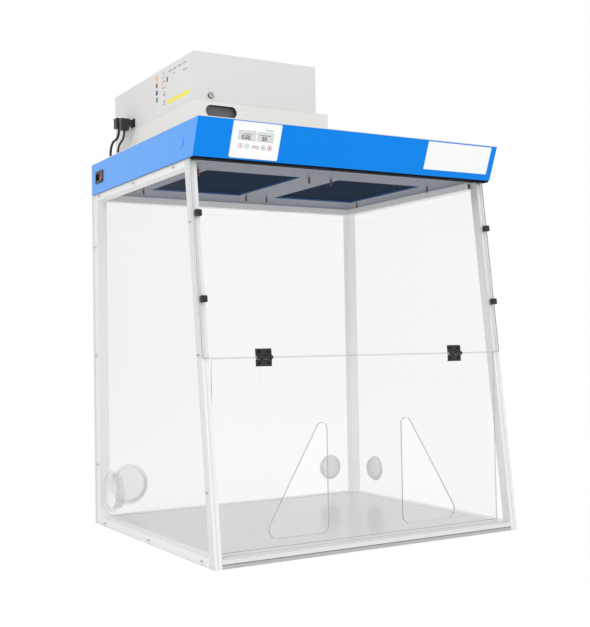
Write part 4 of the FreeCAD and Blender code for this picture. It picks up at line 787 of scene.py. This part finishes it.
def seen_rays(tree):
    """The light path node, and 1 for rays from the camera, straight or through a sheet."""
    ray = add(tree, "ShaderNodeLightPath")
    links = {0: ray.outputs["Is Camera Ray"], 1: ray.outputs["Is Transmission Ray"]}
    return ray, calc(tree, "MAXIMUM", {}, links)


tree = world.node_tree
ray, seen = seen_rays(tree)
mirrored = calc(tree, "MULTIPLY", {1: REFLECTED_LEVEL}, {0: ray.outputs["Is Glossy Ray"]})
shown = calc(tree, "MAXIMUM", {}, {0: seen, 1: mirrored})
level = calc(tree, "MAXIMUM", {1: LIGHTING_LEVEL}, {0: shown})
background = tree.nodes["Background"]
background.inputs["Color"].default_value = linear("#FFFFFF")
tree.links.new(level, background.inputs["Strength"])
print("world level", LIGHTING_LEVEL, "as light and", REFLECTED_LEVEL, "in reflections")

# %% [markdown]
# ## Floor
#
# A wide plane under the hood glows nearly white and adds a little grey of its own on top. Lit parts
# of it reach full white, and where the hood stands in the light it stays slightly darker, which
# keeps a faint shadow.

# %% Floor
FLOOR_GLOW, SEEN_GLOW = 0.72, 0.14
FLOOR_HALF_WIDTH, FLOOR_DROP = 12, 0.5 * MM
floor_white, tree, shader = finish("studio_floor", "#707070", 0.9, {"Specular IOR Level": 0.0})
shader.inputs["Emission Color"].default_value = linear("#FFFFFF")
ray, seen = seen_rays(tree)
shown = calc(tree, "MAXIMUM", {}, {0: seen, 1: ray.outputs["Is Glossy Ray"]})
glow = calc(tree, "MULTIPLY_ADD", {1: SEEN_GLOW, 2: FLOOR_GLOW}, {0: shown})
tree.links.new(glow, shader.inputs["Emission Strength"])

mesh = bpy.data.meshes.new("studio_floor")
form = bmesh.new()
bmesh.ops.create_grid(form, x_segments=1, y_segments=1, size=FLOOR_HALF_WIDTH)
form.to_mesh(mesh)
form.free()
mesh.materials.append(floor_white)
floor = bpy.data.objects.new("studio_floor", mesh)
floor.location.z = -FLOOR_DROP
scene.collection.objects.link(floor)
print("floor", 2 * FLOOR_HALF_WIDTH, "m wide")

# %% [markdown]
# ## Lamps
#
# Three large, soft panels stand round the hood. One at the left lightens the header's left side, one
# far in front keeps the fascia clear, and a weak one above lights the tops. None of them shows in a
# reflection, so they leave no bright rectangles on the clear sheets.

# %% Lamps
def soft_panel(name, place, target, width, height, watts):
    """A rectangular lamp that faces a point."""
    lamp = bpy.data.lights.new(name, "AREA")
    lamp.shape = "RECTANGLE"
    lamp.size = width
    lamp.size_y = height
    lamp.energy = watts
    holder = bpy.data.objects.new(name, lamp)
    holder.location = place
    holder.rotation_euler = (Vector(target) - Vector(place)).to_track_quat("-Z", "Y").to_euler()
    holder.visible_glossy = False
    scene.collection.objects.link(holder)
    print(name, watts, "W,", width, "by", height, "m")


soft_panel("panel_left", (-2.4, -1.6, 2.6), (-0.3, -0.1, 0.9), 1.8, 1.8, 34)
soft_panel("panel_front", (1.0, -7.0, 1.6), (0, 0, 0.5), 4.0, 2.6, 50)
soft_panel("panel_top", (0.3, 0.4, 3.4), (0, 0, 0.5), 2.6, 2.6, 8)

# %% [markdown]
# ## Camera
#
# The camera stands low at the front left, about 2.6 m away, and looks slightly up, so the underside
# of the header shows. It is rolled by one degree. Its axes are built from three angles: turn, tilt
# and roll.

# %% Camera
CAMERA_PLACE = (-1.3033, -2.2295, 0.4433)
FILM_WIDTH_MM, FOCAL_LENGTH_MM = 36, 59.7129
turn, tilt, roll = math.radians(30.31), math.radians(1.837), math.radians(-0.998)
look = Vector((math.sin(turn) * math.cos(tilt), math.cos(turn) * math.cos(tilt), math.sin(tilt)))
level_right = Vector((math.cos(turn), -math.sin(turn), 0))
level_up = level_right.cross(look)
right = level_right * math.cos(roll) + level_up * math.sin(roll)
up = level_up * math.cos(roll) - level_right * math.sin(roll)
lens = bpy.data.cameras.new("studio_camera")
lens.sensor_width = FILM_WIDTH_MM
lens.lens = FOCAL_LENGTH_MM
camera = bpy.data.objects.new("studio_camera", lens)
camera.matrix_world = Matrix.Translation(CAMERA_PLACE) @ Matrix((right, up, -look)).transposed().to_4x4()
scene.collection.objects.link(camera)
scene.camera = camera
print("camera at", [round(v, 3) for v in camera.location], "lens", round(lens.lens, 1), "mm")
